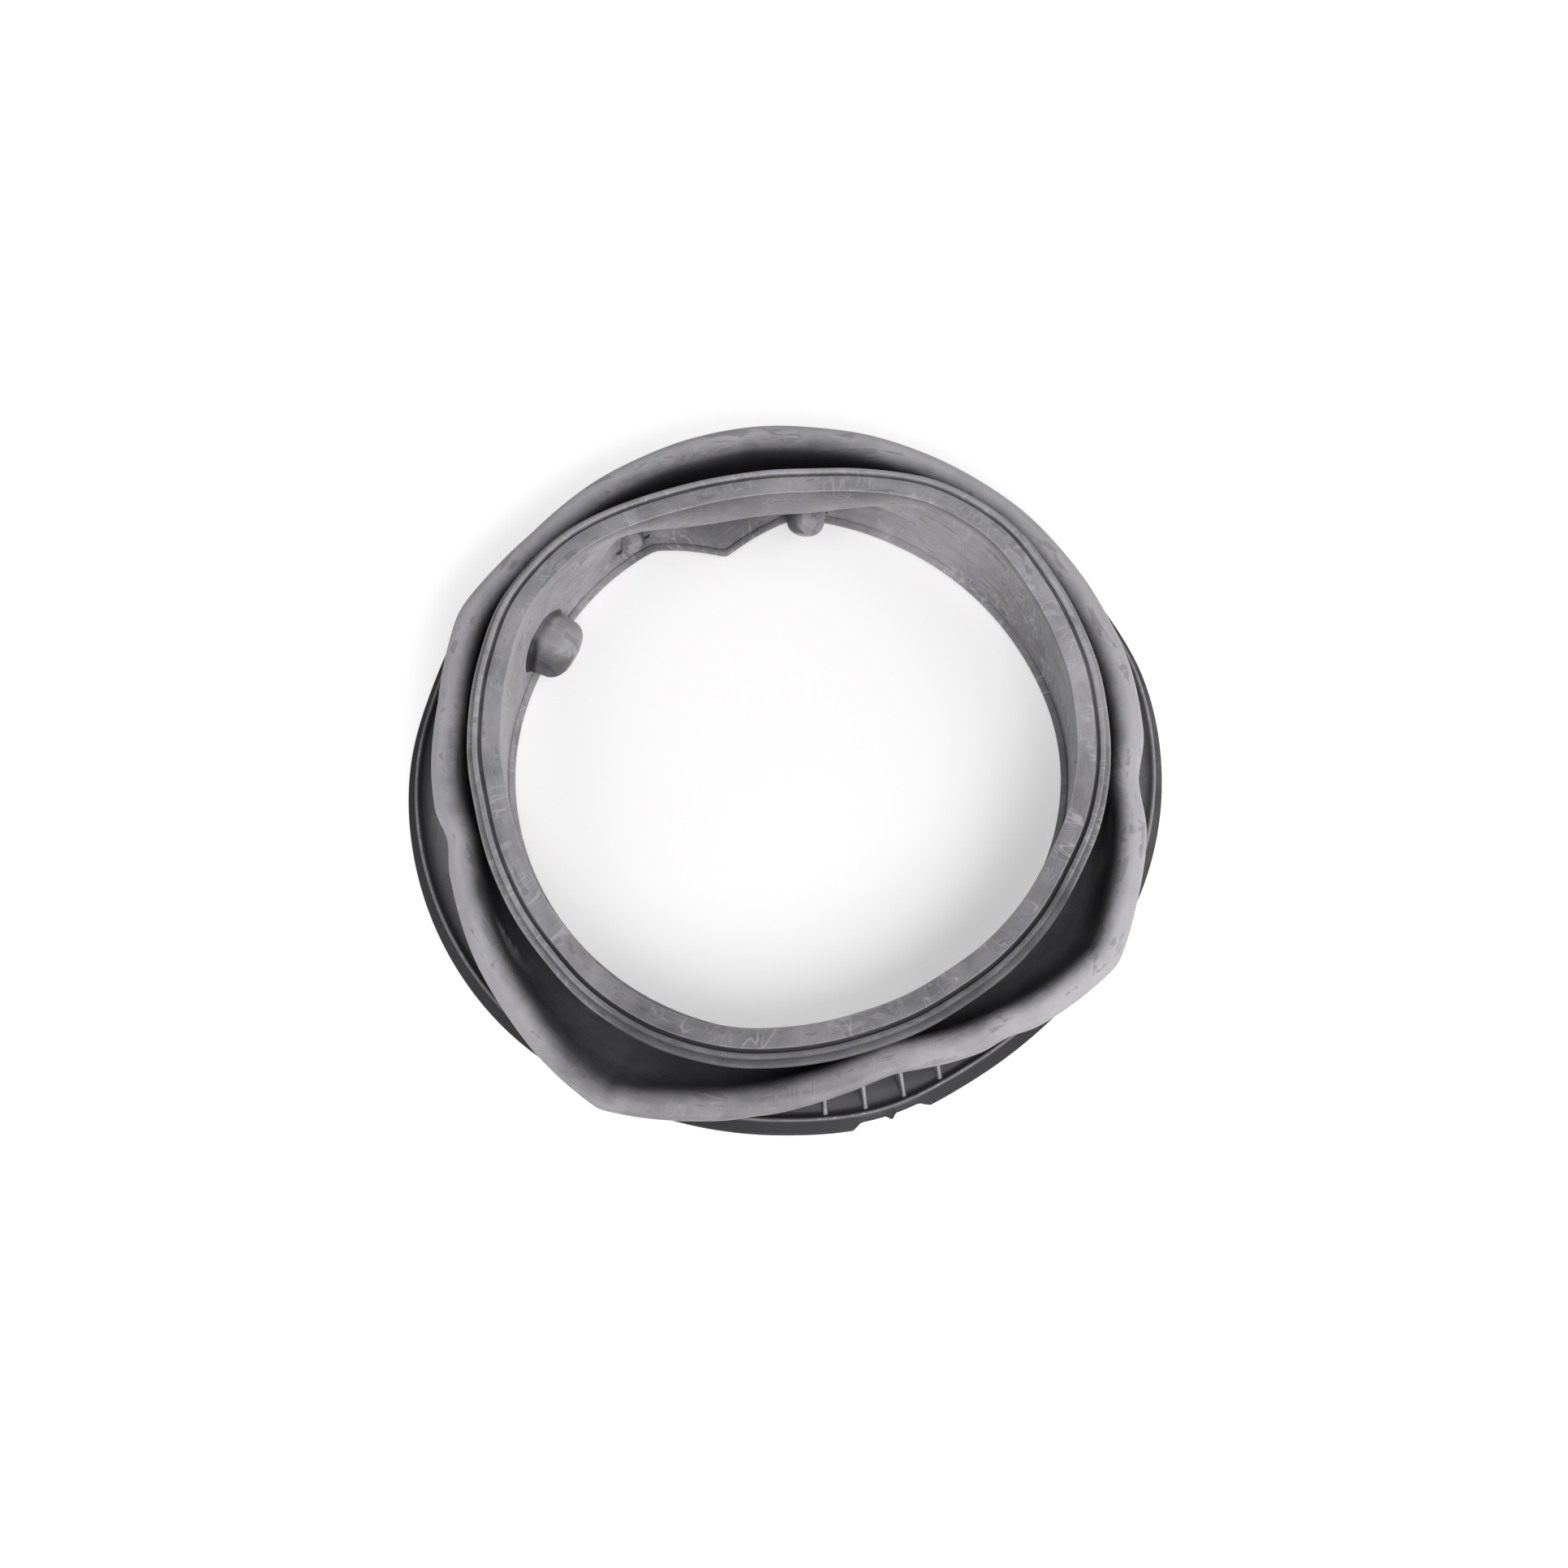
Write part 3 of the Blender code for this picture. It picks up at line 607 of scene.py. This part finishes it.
# the crease gets a painted highlight on the left and painted shade elsewhere
near_crease = np.minimum(across, across[-1:] + step[-1:] - across)
on_left = bell(angles, 165, 45, 60)
edge_highlight = streak(near_crease, 0.0006) * on_left
powder_and_shade = powder_and_shade * (1 - 0.55 * streak(near_crease, 0.0008) * (1 - on_left))
# the fold's lower edge, the fourth point from the end of the outline, gets a painted highlight
along_fold = streak(across - across[-4], 0.0006) * np.clip(2 * lines["folded"], 0, 1)
edge_highlight = np.maximum(edge_highlight, 0.9 * along_fold)
# a painted highlight along the outer side of the ridge, strongest on the left and on the right
upper_side = on_outside & (height > 0.034)
crest = streak(np.where(upper_side, radius, 0).max(axis=0) - radius - 0.0011, 0.0010) * upper_side
crest = crest * (0.3 + 0.9 * bell(angles, 195, 55, 60) + 0.8 * bell(angles, 5, 50, 50))
edge_highlight = np.maximum(edge_highlight, crest)
# painted highlights on sharp bends of the lip and the flange, where the outline turns most for its
# length
rise = np.gradient(radius, axis=0), np.gradient(height, axis=0)
facing = np.unwrap(np.arctan2(rise[1], rise[0]), axis=0)
bend = np.abs(np.gradient(facing, axis=0)) / np.maximum(np.hypot(*rise), 1e-5)
edges = ramp(bend, 500, 1400) * ((zones == "head") | (zones == "foot"))[:, None] * (powder_and_shade > 0.3)
edge_highlight = np.maximum(edge_highlight, 0.6 * edges)

handled = np.broadcast_to(np.where(zones == "outside", 0.25, 1.0)[:, None], powder_and_shade.shape)
give(skin, "powder_and_shade", powder_and_shade)
give(skin, "edge_highlight", edge_highlight)
give(skin, "flow", flow, "FLOAT_VECTOR")
give(skin, "handled", handled)
print("worn skin:", round(100 * float((edge_highlight > 0.3).mean()), 1), "% of its points")

# %% [markdown]
# ## The ports
#
# Three blind stubs stand on the sleeve: a large domed one for the water inlet, a small pin beside
# the tongue, and a round-ended one under the fold. Turned shapes pushed into the wall would leave
# a hard seam. Here each skin starts on the sleeve itself: its rings go from an oval drawn on the
# curved wall, through a small fillet, to a round tip, and then close over it.

# %% Ports
PORT_BASE = 0.0182
PORT_POINTS = 72
PORT_SINK, PORT_FILLET = 0.0014, 0.0010  # how deep the foot starts in the wall, fillet's fall
# angle; shares of PORT_BASE: inset of the tip, heights of tip and foot, half widths of foot and
# tip, rounding; height for width; how far the sides are flattened into facets; and which side of
# its flank is painted in shade, in degrees round the port from its counter-clockwise side upwards
PORTS = {
    "port_large": (152.1, 0.92, 0.93, 0.93, 0.96, 0.84, 0.42, 0.74, 0.022, 20),
    "port_pin": (122.4, -0.19, 0.60, 0.66, 0.37, 0.33, 0.16, 1.00, 0.0, 180),
    "port_round": (85.0, 0.55, 0.73, 0.73, 0.57, 0.53, 0.36, 1.00, 0.0, 20),
}


def port_profile(length, tip, rounding):
    """Share of the way along, and size, of each ring: a fillet that falls off from the wall, a
    quarter of an ellipse over the end, and a low crown that closes it."""
    body = np.linspace(0, 1, 20)
    share = [-PORT_SINK / length, *(body * (1 - rounding / length))]
    size = [1.10, *(1 + 0.09 * np.exp(-body * length / PORT_FILLET))]
    q = np.linspace(0, np.pi / 2, 14)[1:]
    share += list(1 - rounding / length * (1 - np.sin(q)))
    size += list(1 - rounding / tip * (1 - np.cos(q)))
    crown = np.linspace(1, 0.02, 8)[1:]
    share += list(1 + 0.03 * (1 - crown ** 2))
    size += list((1 - rounding / tip) * crown)
    return np.array(share), np.array(size)


print("rings of a port:", len(port_profile(0.01, 0.01, 0.004)[0]))


# %% Port pieces
def port_piece(name, angle, inset, tip_height, foot_height, foot, tip, rounding, squash, facet, bare_and_shaded):
    """A port from the sleeve to its tip. Ring k lies a share along the way from the foot's middle
    to the tip's, and its points are that share of the way from the oval on the wall to the
    tip's circle, times the ring's size."""
    inset, tip_height, foot_height, foot, tip, rounding = (
        PORT_BASE * v for v in (inset, tip_height, foot_height, foot, tip, rounding))
    a = np.arange(PORT_POINTS) / PORT_POINTS * 2 * np.pi
    wide = 1 + facet * np.cos(6 * a + 0.5)
    y, z = foot * wide * np.cos(a), foot_height + foot * squash * wide * np.sin(a)
    wall = wall_radius(angle + np.degrees(y / RIM_RADIUS), z)
    oval = np.stack([np.sqrt(wall ** 2 - y ** 2), y, z], -1)
    start = np.array([float(wall_radius(angle, foot_height)), 0, foot_height])
    end = np.array([RIM_RADIUS - inset, 0, tip_height])
    length = np.linalg.norm(end - start)
    along = (end - start) / length
    rise = np.array([along[2], 0, -along[0]])
    cap = tip * (np.outer(wide * np.cos(a), (0, 1, 0)) + np.outer(squash * wide * np.sin(a), rise))
    share, size = port_profile(length, tip, rounding)
    u, size = np.clip(share, 0, 1)[:, None, None], size[:, None, None]
    rings = start + share[:, None, None] * (end - start) + size * ((1 - u) * (oval - start) + u * cap)
    local = rings.reshape(-1, 3)
    points = placed(local[:, 0], local[:, 1], local[:, 2], angle)
    piece = mesh_object(name, points, tube_faces(len(share), PORT_POINTS))
    # painted shade: darker near the foot, as a contact shadow on the wall, and on one flank
    flank = 0.48 * ramp(np.cos(a - math.radians(bare_and_shaded)), 0.45, 0.95)
    dust_and_shade = 0.66 - 0.50 * ramp(0.34 - share, 0.0, 0.30)[:, None] - flank[None, :]
    give(piece, "powder_and_shade", np.clip(dust_and_shade, 0, 1))
    give(piece, "edge_highlight", np.zeros(len(points)))
    give(piece, "flow", local[:, [0, 2, 1]] * (0.4, 0.4, 1.0), "FLOAT_VECTOR")
    give(piece, "handled", np.full(len(points), 0.6))
    return piece


ports = [port_piece(name, *values) for name, values in PORTS.items()]
print("ports:", [p.name for p in ports])

# %% [markdown]
# ## The ribs
#
# Four gussets hold the ridge up above the locating notch. Each is a thin plate between the tub
# flange and the underside of the ridge. It could be a cut-down box; here it's a small grid whose
# outer edge is rounded, because that light edge is what the eye sees.

# %% Ribs
RIB_MIDDLE, RIB_PITCH, RIB_COUNT = 285.8, 6.2, 4
RIB_THICKNESS, RIB_OUTER, RIB_HEIGHT = 0.0022, 0.0034, 0.0310
RIB_LEVELS, RIB_POINTS = 22, 40
RIB_FOOT = FLANGE_TOP - EDGE_LIP - 0.4 * WALL


def rib_piece(number):
    """A plate whose thickness follows a superellipse out to its rounded outer edge. Rows go up
    from the flange to the ridge, and each row is one closed loop round the plate."""
    angle = RIB_MIDDLE + (number - (RIB_COUNT - 1) / 2) * RIB_PITCH
    edge = FLANGE_RADIUS * float(around(FLANGE_SHAPE, angle)) - FLANGE_STEP - RIB_OUTER
    ridge = RIDGE_RADIUS * float(around(RIDGE_SHAPE, angle))
    up = np.linspace(0, 1, RIB_LEVELS)[:, None]
    z = RIB_FOOT + (RIB_HEIGHT - RIB_FOOT) * up
    outer = edge + (ridge - edge) * up ** 1.3 + 0.0010 * np.exp(-up / 0.06)
    inner = np.interp(z, (FLANGE_TOP, FLANGE_TOP + WALL, WAIST_HEIGHT, RIB_HEIGHT),
                      (edge - 0.004, WAIST_RADIUS + 0.0012, WAIST_RADIUS, ridge - 0.0014))
    a = np.linspace(0, 2 * np.pi, RIB_POINTS + 1)[:-1]
    r = inner + (outer - inner) * (0.5 + 0.5 * np.sign(np.cos(a)) * np.abs(np.cos(a)) ** 0.22)
    half = 0.5 * RIB_THICKNESS * (1 + 0.5 * np.exp(-up / 0.05) + 0.6 * np.exp(-(1 - up) / 0.06))
    side = half * np.sign(np.sin(a)) * np.abs(np.sin(a)) ** 0.45
    points = placed(r, side, z, angle).reshape(-1, 3)
    piece = mesh_object(f"rib_{number + 1}", points, tube_faces(RIB_LEVELS, RIB_POINTS))
    # the rounded outer edge gets a painted highlight, in the powder note and the edge highlight note
    tip = np.broadcast_to(ramp(np.cos(a), 0.93, 0.99), r.shape)
    give(piece, "powder_and_shade", 0.30 + 0.40 * tip)
    give(piece, "edge_highlight", 0.35 * tip)
    give(piece, "flow", points, "FLOAT_VECTOR")
    return piece


ribs = [rib_piece(number) for number in range(RIB_COUNT)]
print("ribs:", len(ribs))

# %% [markdown]
# ## Flash, and painted shade by the pin
#
# Where two halves of the mould meet, a little rubber squeezes out and is torn off, and short dark
# ticks stay behind on the edges. Leaving them out would make the part look drawn. The two ticks
# beside the pin are flash and also paint the pin's contact shadow on the wall. Each tick is a thin
# curved spindle that starts in the skin, and all of them share one mesh.

# %% Flash ticks, two of them also painted shade by the pin
MM = 0.001
TICK_RINGS, TICK_POINTS = 9, 6
TICK_SUNK, TICK_BEND, TICK_FLAT = 0.35, 0.18, 0.8
# angle and radius (mm) and height (mm) of each tick, its direction from straight out, its length
# and thickness (mm): on the ridge, on the lip, beside the pin, where they also paint its contact
# shadow, and beside the round port
TICKS = (
    (171.6, 177.2, 37, 10, 2.2, 0.5), (194.6, 176.0, 36, -15, 2.4, 0.6),
    (17.0, 180.9, 37, 15, 2.0, 0.5), (205.0, 180.4, 36, 20, 1.8, 0.5),
    (304.6, 186.8, 36, -25, 2.4, 0.6), (306.0, 187.2, 36, 15, 2.0, 0.5),
    (291.6, 163.6, 53.5, 5, 1.6, 0.4), (354.0, 147.1, 55.0, 170, 1.3, 0.4),
    (125.9, 147.5, 11.3, 82, 5.0, 1.5), (119.0, 148.4, 9.3, 100, 4.6, 1.4),
    (80.9, 146.7, 6.2, 95, 3.0, 0.8),
)


def tick(angle, radius, height, way, length, thick):
    """A spindle: circles whose size follows half a sine, along a slightly bent line."""
    t = np.linspace(0.02, 0.98, TICK_RINGS)[:, None]
    a = np.arange(TICK_POINTS) / TICK_POINTS * 2 * np.pi
    size = thick / 2 * MM * np.sin(np.pi * t) ** 0.7
    out, side = math.cos(math.radians(way)), math.sin(math.radians(way))
    bent = TICK_BEND * length * MM * np.sin(np.pi * t) + size * np.cos(a)
    line = (t - TICK_SUNK) * length * MM
    r, y = radius * MM + line * out - bent * side, line * side + bent * out
    z = height * MM + size * np.sin(a) * TICK_FLAT
    return placed(r, y, z, angle).reshape(-1, 3)


tick_points = np.concatenate([tick(*row) for row in TICKS])
one_tick = tube_faces(TICK_RINGS, TICK_POINTS)
tick_faces = [[v + TICK_RINGS * TICK_POINTS * k for v in face]
              for k in range(len(TICKS)) for face in one_tick]
flash_and_shade = mesh_object("flash_and_shade_ticks", tick_points, tick_faces)
give(flash_and_shade, "powder_and_shade", np.full(len(tick_points), 0.05))
give(flash_and_shade, "edge_highlight", np.zeros(len(tick_points)))
give(flash_and_shade, "flow", tick_points, "FLOAT_VECTOR")
print("flash:", len(TICKS), "ticks")

# %% [markdown]
# ## The rubber
#
# The seal is moulded from grey EPDM rubber. Its surface copies a lightly blasted steel mould, so
# it is matt with a broad soft highlight, and its colour is a warm grey. Over it lies the talc: a
# pale haze with wiped edges, thin curved scuffs where something slid over it, and a fine grain.
# Image textures could give all this, but noise that follows the folds does it at any size. The
# powder note also brings painted shade, and edges and lines get a painted highlight in a paler grey.


# %% Colours and nodes
def linear(code):
    """sRGB hex code to linear RGBA: each channel through the standard display curve."""
    c = np.array([int(code[k:k + 2], 16) for k in (1, 3, 5)]) / 255
    c = np.where(c <= 0.04045, c / 12.92, ((c + 0.055) / 1.055) ** 2.4)
    return (*c.tolist(), 1.0)


def add(tree, kind, *values, out=0, sockets=None, **settings):
    """Adds a node with its settings, fills its first sockets in order and others by name, each
    with a value or with another node's output, and gives back one of its own outputs."""
    node = tree.nodes.new("ShaderNode" + kind)
    for key, value in settings.items():
        setattr(node, key, value)
    for key, value in {**dict(enumerate(values)), **(sockets or {})}.items():
        if isinstance(value, bpy.types.NodeSocket):
            tree.links.new(value, node.inputs[key])
        else:
            node.inputs[key].default_value = value
    return node.outputs[out] if node.outputs else node


print("bare rubber:", [round(v, 3) for v in linear("#28272a")])

# %% Notes and patterns for the rubber
rubber = bpy.data.materials.new("epdm_rubber_talc_painted_light")
rubber.use_nodes = True
tree = rubber.node_tree
tree.nodes.clear()
place = add(tree, "TexCoord", out="Object")
flowing = add(tree, "Attribute", out="Vector", attribute_name="flow")
# the powder note: talc and painted shade
dusty_and_shaded = add(tree, "Attribute", out="Fac", attribute_name="powder_and_shade")
edge = add(tree, "Attribute", out="Fac", attribute_name="edge_highlight")
touched = add(tree, "Attribute", out="Fac", attribute_name="handled")

# what each pattern follows, the size of its blobs in millimetres and their stretch along each
# axis, then detail, roughness and distortion
PATTERNS = {
    "clouds": (place, 42, (1, 1, 1), 2.0, 0.50, 0.0),
    "patches": (place, 13, (1, 1, 1), 4.0, 0.55, 0.4),
    "drag": (flowing, 5.5, (5.0, 5.0, 1.0), 4.0, 0.55, 0.3),
    "stroke": (flowing, 6.5, (1.0, 1.0, 3.0), 1.0, 0.40, 0.5),
    "lines": (flowing, 17, (1.6, 1.6, 1.0), 1.0, 0.40, 1.2),
    "gate": (place, 19, (1, 1, 1), 2.0, 0.5, 0.0),
    "grain": (place, 0.55, (1, 1, 1), 2.0, 0.6, 0.0),
}
noise = {}
for name, (follows, size_mm, stretch, detail, rough, distortion) in PATTERNS.items():
    scale = tuple(1000.0 / size_mm / s for s in stretch)
    moved = add(tree, "Mapping", sockets={"Vector": follows, "Scale": scale}, out="Vector")
    noise[name] = add(tree, "TexNoise", out="Fac", sockets={
        "Vector": moved, "Scale": 1.0, "Detail": detail, "Roughness": rough, "Distortion": distortion})
print("patterns:", list(noise))

# %% Talc and painted shade on the rubber
# each pattern makes the powder's note uneven by its share, most where it's a little over half
UNEVEN = {"clouds": 0.55, "patches": 0.42, "drag": 0.40}
swing = 0.0
for name, share in UNEVEN.items():
    off = add(tree, "Math", noise[name], 0.5, operation="SUBTRACT")
    off = add(tree, "Math", off, share, operation="MULTIPLY")
    swing = add(tree, "Math", swing, off, operation="ADD")
room = add(tree, "Math", 1.25, dusty_and_shaded, operation="SUBTRACT")
room = add(tree, "Math", add(tree, "Math", dusty_and_shaded, room, operation="MULTIPLY"), 2.9, operation="MULTIPLY")
swing = add(tree, "Math", swing, room, operation="MULTIPLY")
talc_and_shade = add(tree, "Math", dusty_and_shaded, swing, operation="ADD", use_clamp=True)
# wiped: long patches with a clear edge where something took the talc off
smeared = add(tree, "MapRange", noise["drag"], 0.555, 0.60, interpolation_type="SMOOTHSTEP")
spotted = add(tree, "MapRange", noise["patches"], 0.47, 0.52, interpolation_type="SMOOTHSTEP")
wiped = add(tree, "Math", smeared, spotted, operation="MULTIPLY")
wiped = add(tree, "Math", wiped, 0.34, operation="MULTIPLY")
left_on = add(tree, "Math", 1.0, wiped, operation="SUBTRACT")
talc_and_shade = add(tree, "Math", talc_and_shade, left_on, operation="MULTIPLY")
print("rubber so far:", len(tree.nodes), "nodes")

# %% Strokes and scuffs
# strokes: broad soft marks across the ring, and scuffs: thin lines. Each lies where a slow noise
# passes its middle value, and both only where the gate opens, the talc holds and hands reach.
# The numbers: how far from the middle value a mark is still full, how far it reaches, and the
# values at which the gate starts to open and is open.
MARKS = {"stroke": (0.004, 0.040, 0.46, 0.58), "lines": (0.001, 0.007, 0.44, 0.54)}
MARK_STRENGTH = 0.40
held = add(tree, "Math", add(tree, "MapRange", dusty_and_shaded, 0.22, 0.45, interpolation_type="SMOOTHSTEP"),
           touched, operation="MULTIPLY")
marks = []
for name, (full, ends, closed, opened) in MARKS.items():
    off = add(tree, "Math", noise[name], 0.5, operation="SUBTRACT")
    off = add(tree, "Math", off, 0.0, operation="ABSOLUTE")
    off = add(tree, "MapRange", off, full, ends, interpolation_type="SMOOTHSTEP")
    mark = add(tree, "Math", 1.0, off, operation="SUBTRACT")
    gate = add(tree, "MapRange", noise["gate"], closed, opened, interpolation_type="SMOOTHSTEP")
    mark = add(tree, "Math", mark, gate, operation="MULTIPLY")
    mark = add(tree, "Math", mark, held, operation="MULTIPLY")
    marks.append(add(tree, "Math", mark, MARK_STRENGTH, operation="MULTIPLY"))
print("marks:", list(MARKS))

# %% Colour, gloss and relief
bare_and_shaded = add(tree, "Mix", noise["clouds"], data_type="RGBA", out=2,
           sockets={6: linear("#28272a"), 7: linear("#333235")})
# the powder note lightens the bare rubber; where it is low it also paints shade
colour = add(tree, "Mix", talc_and_shade, data_type="RGBA", out=2, sockets={6: bare_and_shaded, 7: linear("#b9b7bc")})
for mark in marks:
    colour = add(tree, "Mix", mark, data_type="RGBA", out=2, sockets={6: colour, 7: linear("#cac8cd")})
# painted highlight along edges and lines, in a paler grey
colour = add(tree, "Mix", add(tree, "Math", edge, 0.6, operation="MULTIPLY"), data_type="RGBA", out=2,
             sockets={6: colour, 7: linear("#c4c2c7")})
fleck = add(tree, "MapRange", noise["grain"], sockets={"To Min": 0.3, "To Max": 1.4})
colour = add(tree, "Mix", 0.08, data_type="RGBA", blend_type="MULTIPLY", out=2,
             sockets={6: colour, 7: fleck})
matt = add(tree, "MapRange", talc_and_shade, sockets={"To Min": 0.42, "To Max": 0.72})
relief = add(tree, "Math", add(tree, "Math", noise["grain"], 0.35, operation="MULTIPLY"),
             add(tree, "Math", noise["patches"], 0.6, operation="MULTIPLY"), operation="ADD")
bump = add(tree, "Bump", sockets={"Strength": 0.22, "Distance": 0.0006, "Height": relief})
shader = add(tree, "BsdfPrincipled", sockets={
    "Base Color": colour, "Roughness": matt, "Normal": bump, "IOR": 1.5, "Specular IOR Level": 0.22,
    "Sheen Weight": add(tree, "Math", talc_and_shade, 0.40, operation="MULTIPLY"), "Sheen Roughness": 0.45})
add(tree, "OutputMaterial", shader)
pieces = (skin, *ports, *ribs, flash_and_shade)
for piece in pieces:
    piece.data.materials.append(rubber)
print("rubber:", len(tree.nodes), "nodes on", len(pieces), "pieces")

# %% Ride on the frame
for piece in pieces:
    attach(piece, "root")
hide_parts("door_seal")
print("the skin stands for the solid door_seal")

# %% [markdown]
# ## Floor, light and camera
#
# The seal lies on a plain white floor under soft studio light. The floor is a little brighter to
# the camera than to the seal, so that it shows white and still keeps the seal's shadow. Its glow is
# lower inside the ring than outside it, which paints shade on the floor inside the ring and paints
# out the seal's shadow outside it.


# %% Floor
def seen_directly(tree):
    """1 for rays from the camera and for glossy and transmitted ones, and 0 for all others."""
    rays = add(tree, "LightPath").node.outputs
    seen = add(tree, "Math", rays["Is Camera Ray"], rays["Is Glossy Ray"], operation="MAXIMUM")
    return add(tree, "Math", seen, rays["Is Transmission Ray"], operation="MAXIMUM")


FLOOR_HALF = 6
# glow added to the floor: lower inside the ring, which paints shade there, higher outside it, which
# paints out the seal's shadow, and more towards the edge of the room
GLOW_INSIDE, GLOW_OUTSIDE, GLOW_FAR = 0.36, 0.62, 0.45
corners = [(x * FLOOR_HALF, y * FLOOR_HALF, 0) for x, y in ((-1, -1), (1, -1), (1, 1), (-1, 1))]
floor = mesh_object("studio_floor", corners, [(0, 1, 2, 3)])
paper = bpy.data.materials.new("white_paper_floor")
paper.use_nodes = True
tree = paper.node_tree
tree.nodes.clear()
direct = seen_directly(tree)
far = add(tree, "VectorMath", add(tree, "TexCoord", out="Object"), operation="LENGTH", out="Value")
lift = add(tree, "MapRange", far, 0.13, 0.18, GLOW_INSIDE, GLOW_OUTSIDE, interpolation_type="SMOOTHSTEP")
more = add(tree, "MapRange", far, 0.5, 3.0, 0.0, GLOW_FAR, interpolation_type="SMOOTHSTEP")
lift = add(tree, "Math", direct, add(tree, "Math", lift, more, operation="ADD"), operation="MULTIPLY")
glow = add(tree, "Emission", linear("#ffffff"), lift)
matte = add(tree, "BsdfDiffuse", linear("#dedcdc"))
add(tree, "OutputMaterial", add(tree, "AddShader", glow, matte))
floor.data.materials.append(paper)
print("floor:", len(tree.nodes), "nodes")

# %% World and lamps
WORLD_ON_SEAL, WORLD_SEEN = 0.14, 1.0
world = bpy.data.worlds.new("studio")
bpy.context.scene.world = world
world.use_nodes = True
tree = world.node_tree
tree.nodes.clear()
power = add(tree, "MapRange", seen_directly(tree), 0.0, 1.0, WORLD_ON_SEAL, WORLD_SEEN)
add(tree, "OutputWorld", add(tree, "Background", linear("#ffffff"), power))


def softbox(name, place, size, power):
    """A square area lamp at a place, turned to face the middle of the seal's foot."""
    data = bpy.data.lights.new(name, "AREA")
    data.shape, data.size, data.energy = "SQUARE", size, power
    lamp = bpy.data.objects.new(name, data)
    lamp.location = place
    lamp.rotation_euler = (-Vector(place)).to_track_quat("-Z", "Y").to_euler()
    bpy.context.scene.collection.objects.link(lamp)
    return lamp


lamps = [softbox("near_softbox", (0.42, -1.10, 1.25), 1.0, 20),
         softbox("right_softbox", (1.20, 0.10, 1.00), 0.9, 7),
         softbox("left_softbox", (-1.20, -0.20, 1.10), 0.9, 5.5)]
print("lamps:", [lamp.name for lamp in lamps])

# %% Camera
# It looks down at 70 degrees from 1.5 m, at a point a little on this side of the seal's middle.
VIEW_AIM = (-0.0009, -0.00675, 0.0)
VIEW_DISTANCE, VIEW_HEIGHT = 1.5, math.radians(70)
FRAME_PX, FOCAL_PX, SENSOR_MM = 1932, 3571, 36.0     # side of the frame, focal length in its pixels
camera = bpy.data.objects.new("camera", bpy.data.cameras.new("camera"))
camera.location = (VIEW_AIM[0], VIEW_AIM[1] - VIEW_DISTANCE * math.cos(VIEW_HEIGHT),
                   VIEW_DISTANCE * math.sin(VIEW_HEIGHT))
camera.rotation_euler = (math.pi / 2 - VIEW_HEIGHT, 0, 0)
camera.data.sensor_width = SENSOR_MM
camera.data.lens = SENSOR_MM * FOCAL_PX / FRAME_PX
bpy.context.scene.collection.objects.link(camera)
bpy.context.scene.camera = camera
bpy.context.scene.view_settings.view_transform = "Standard"
print("lens:", round(camera.data.lens, 1), "mm")
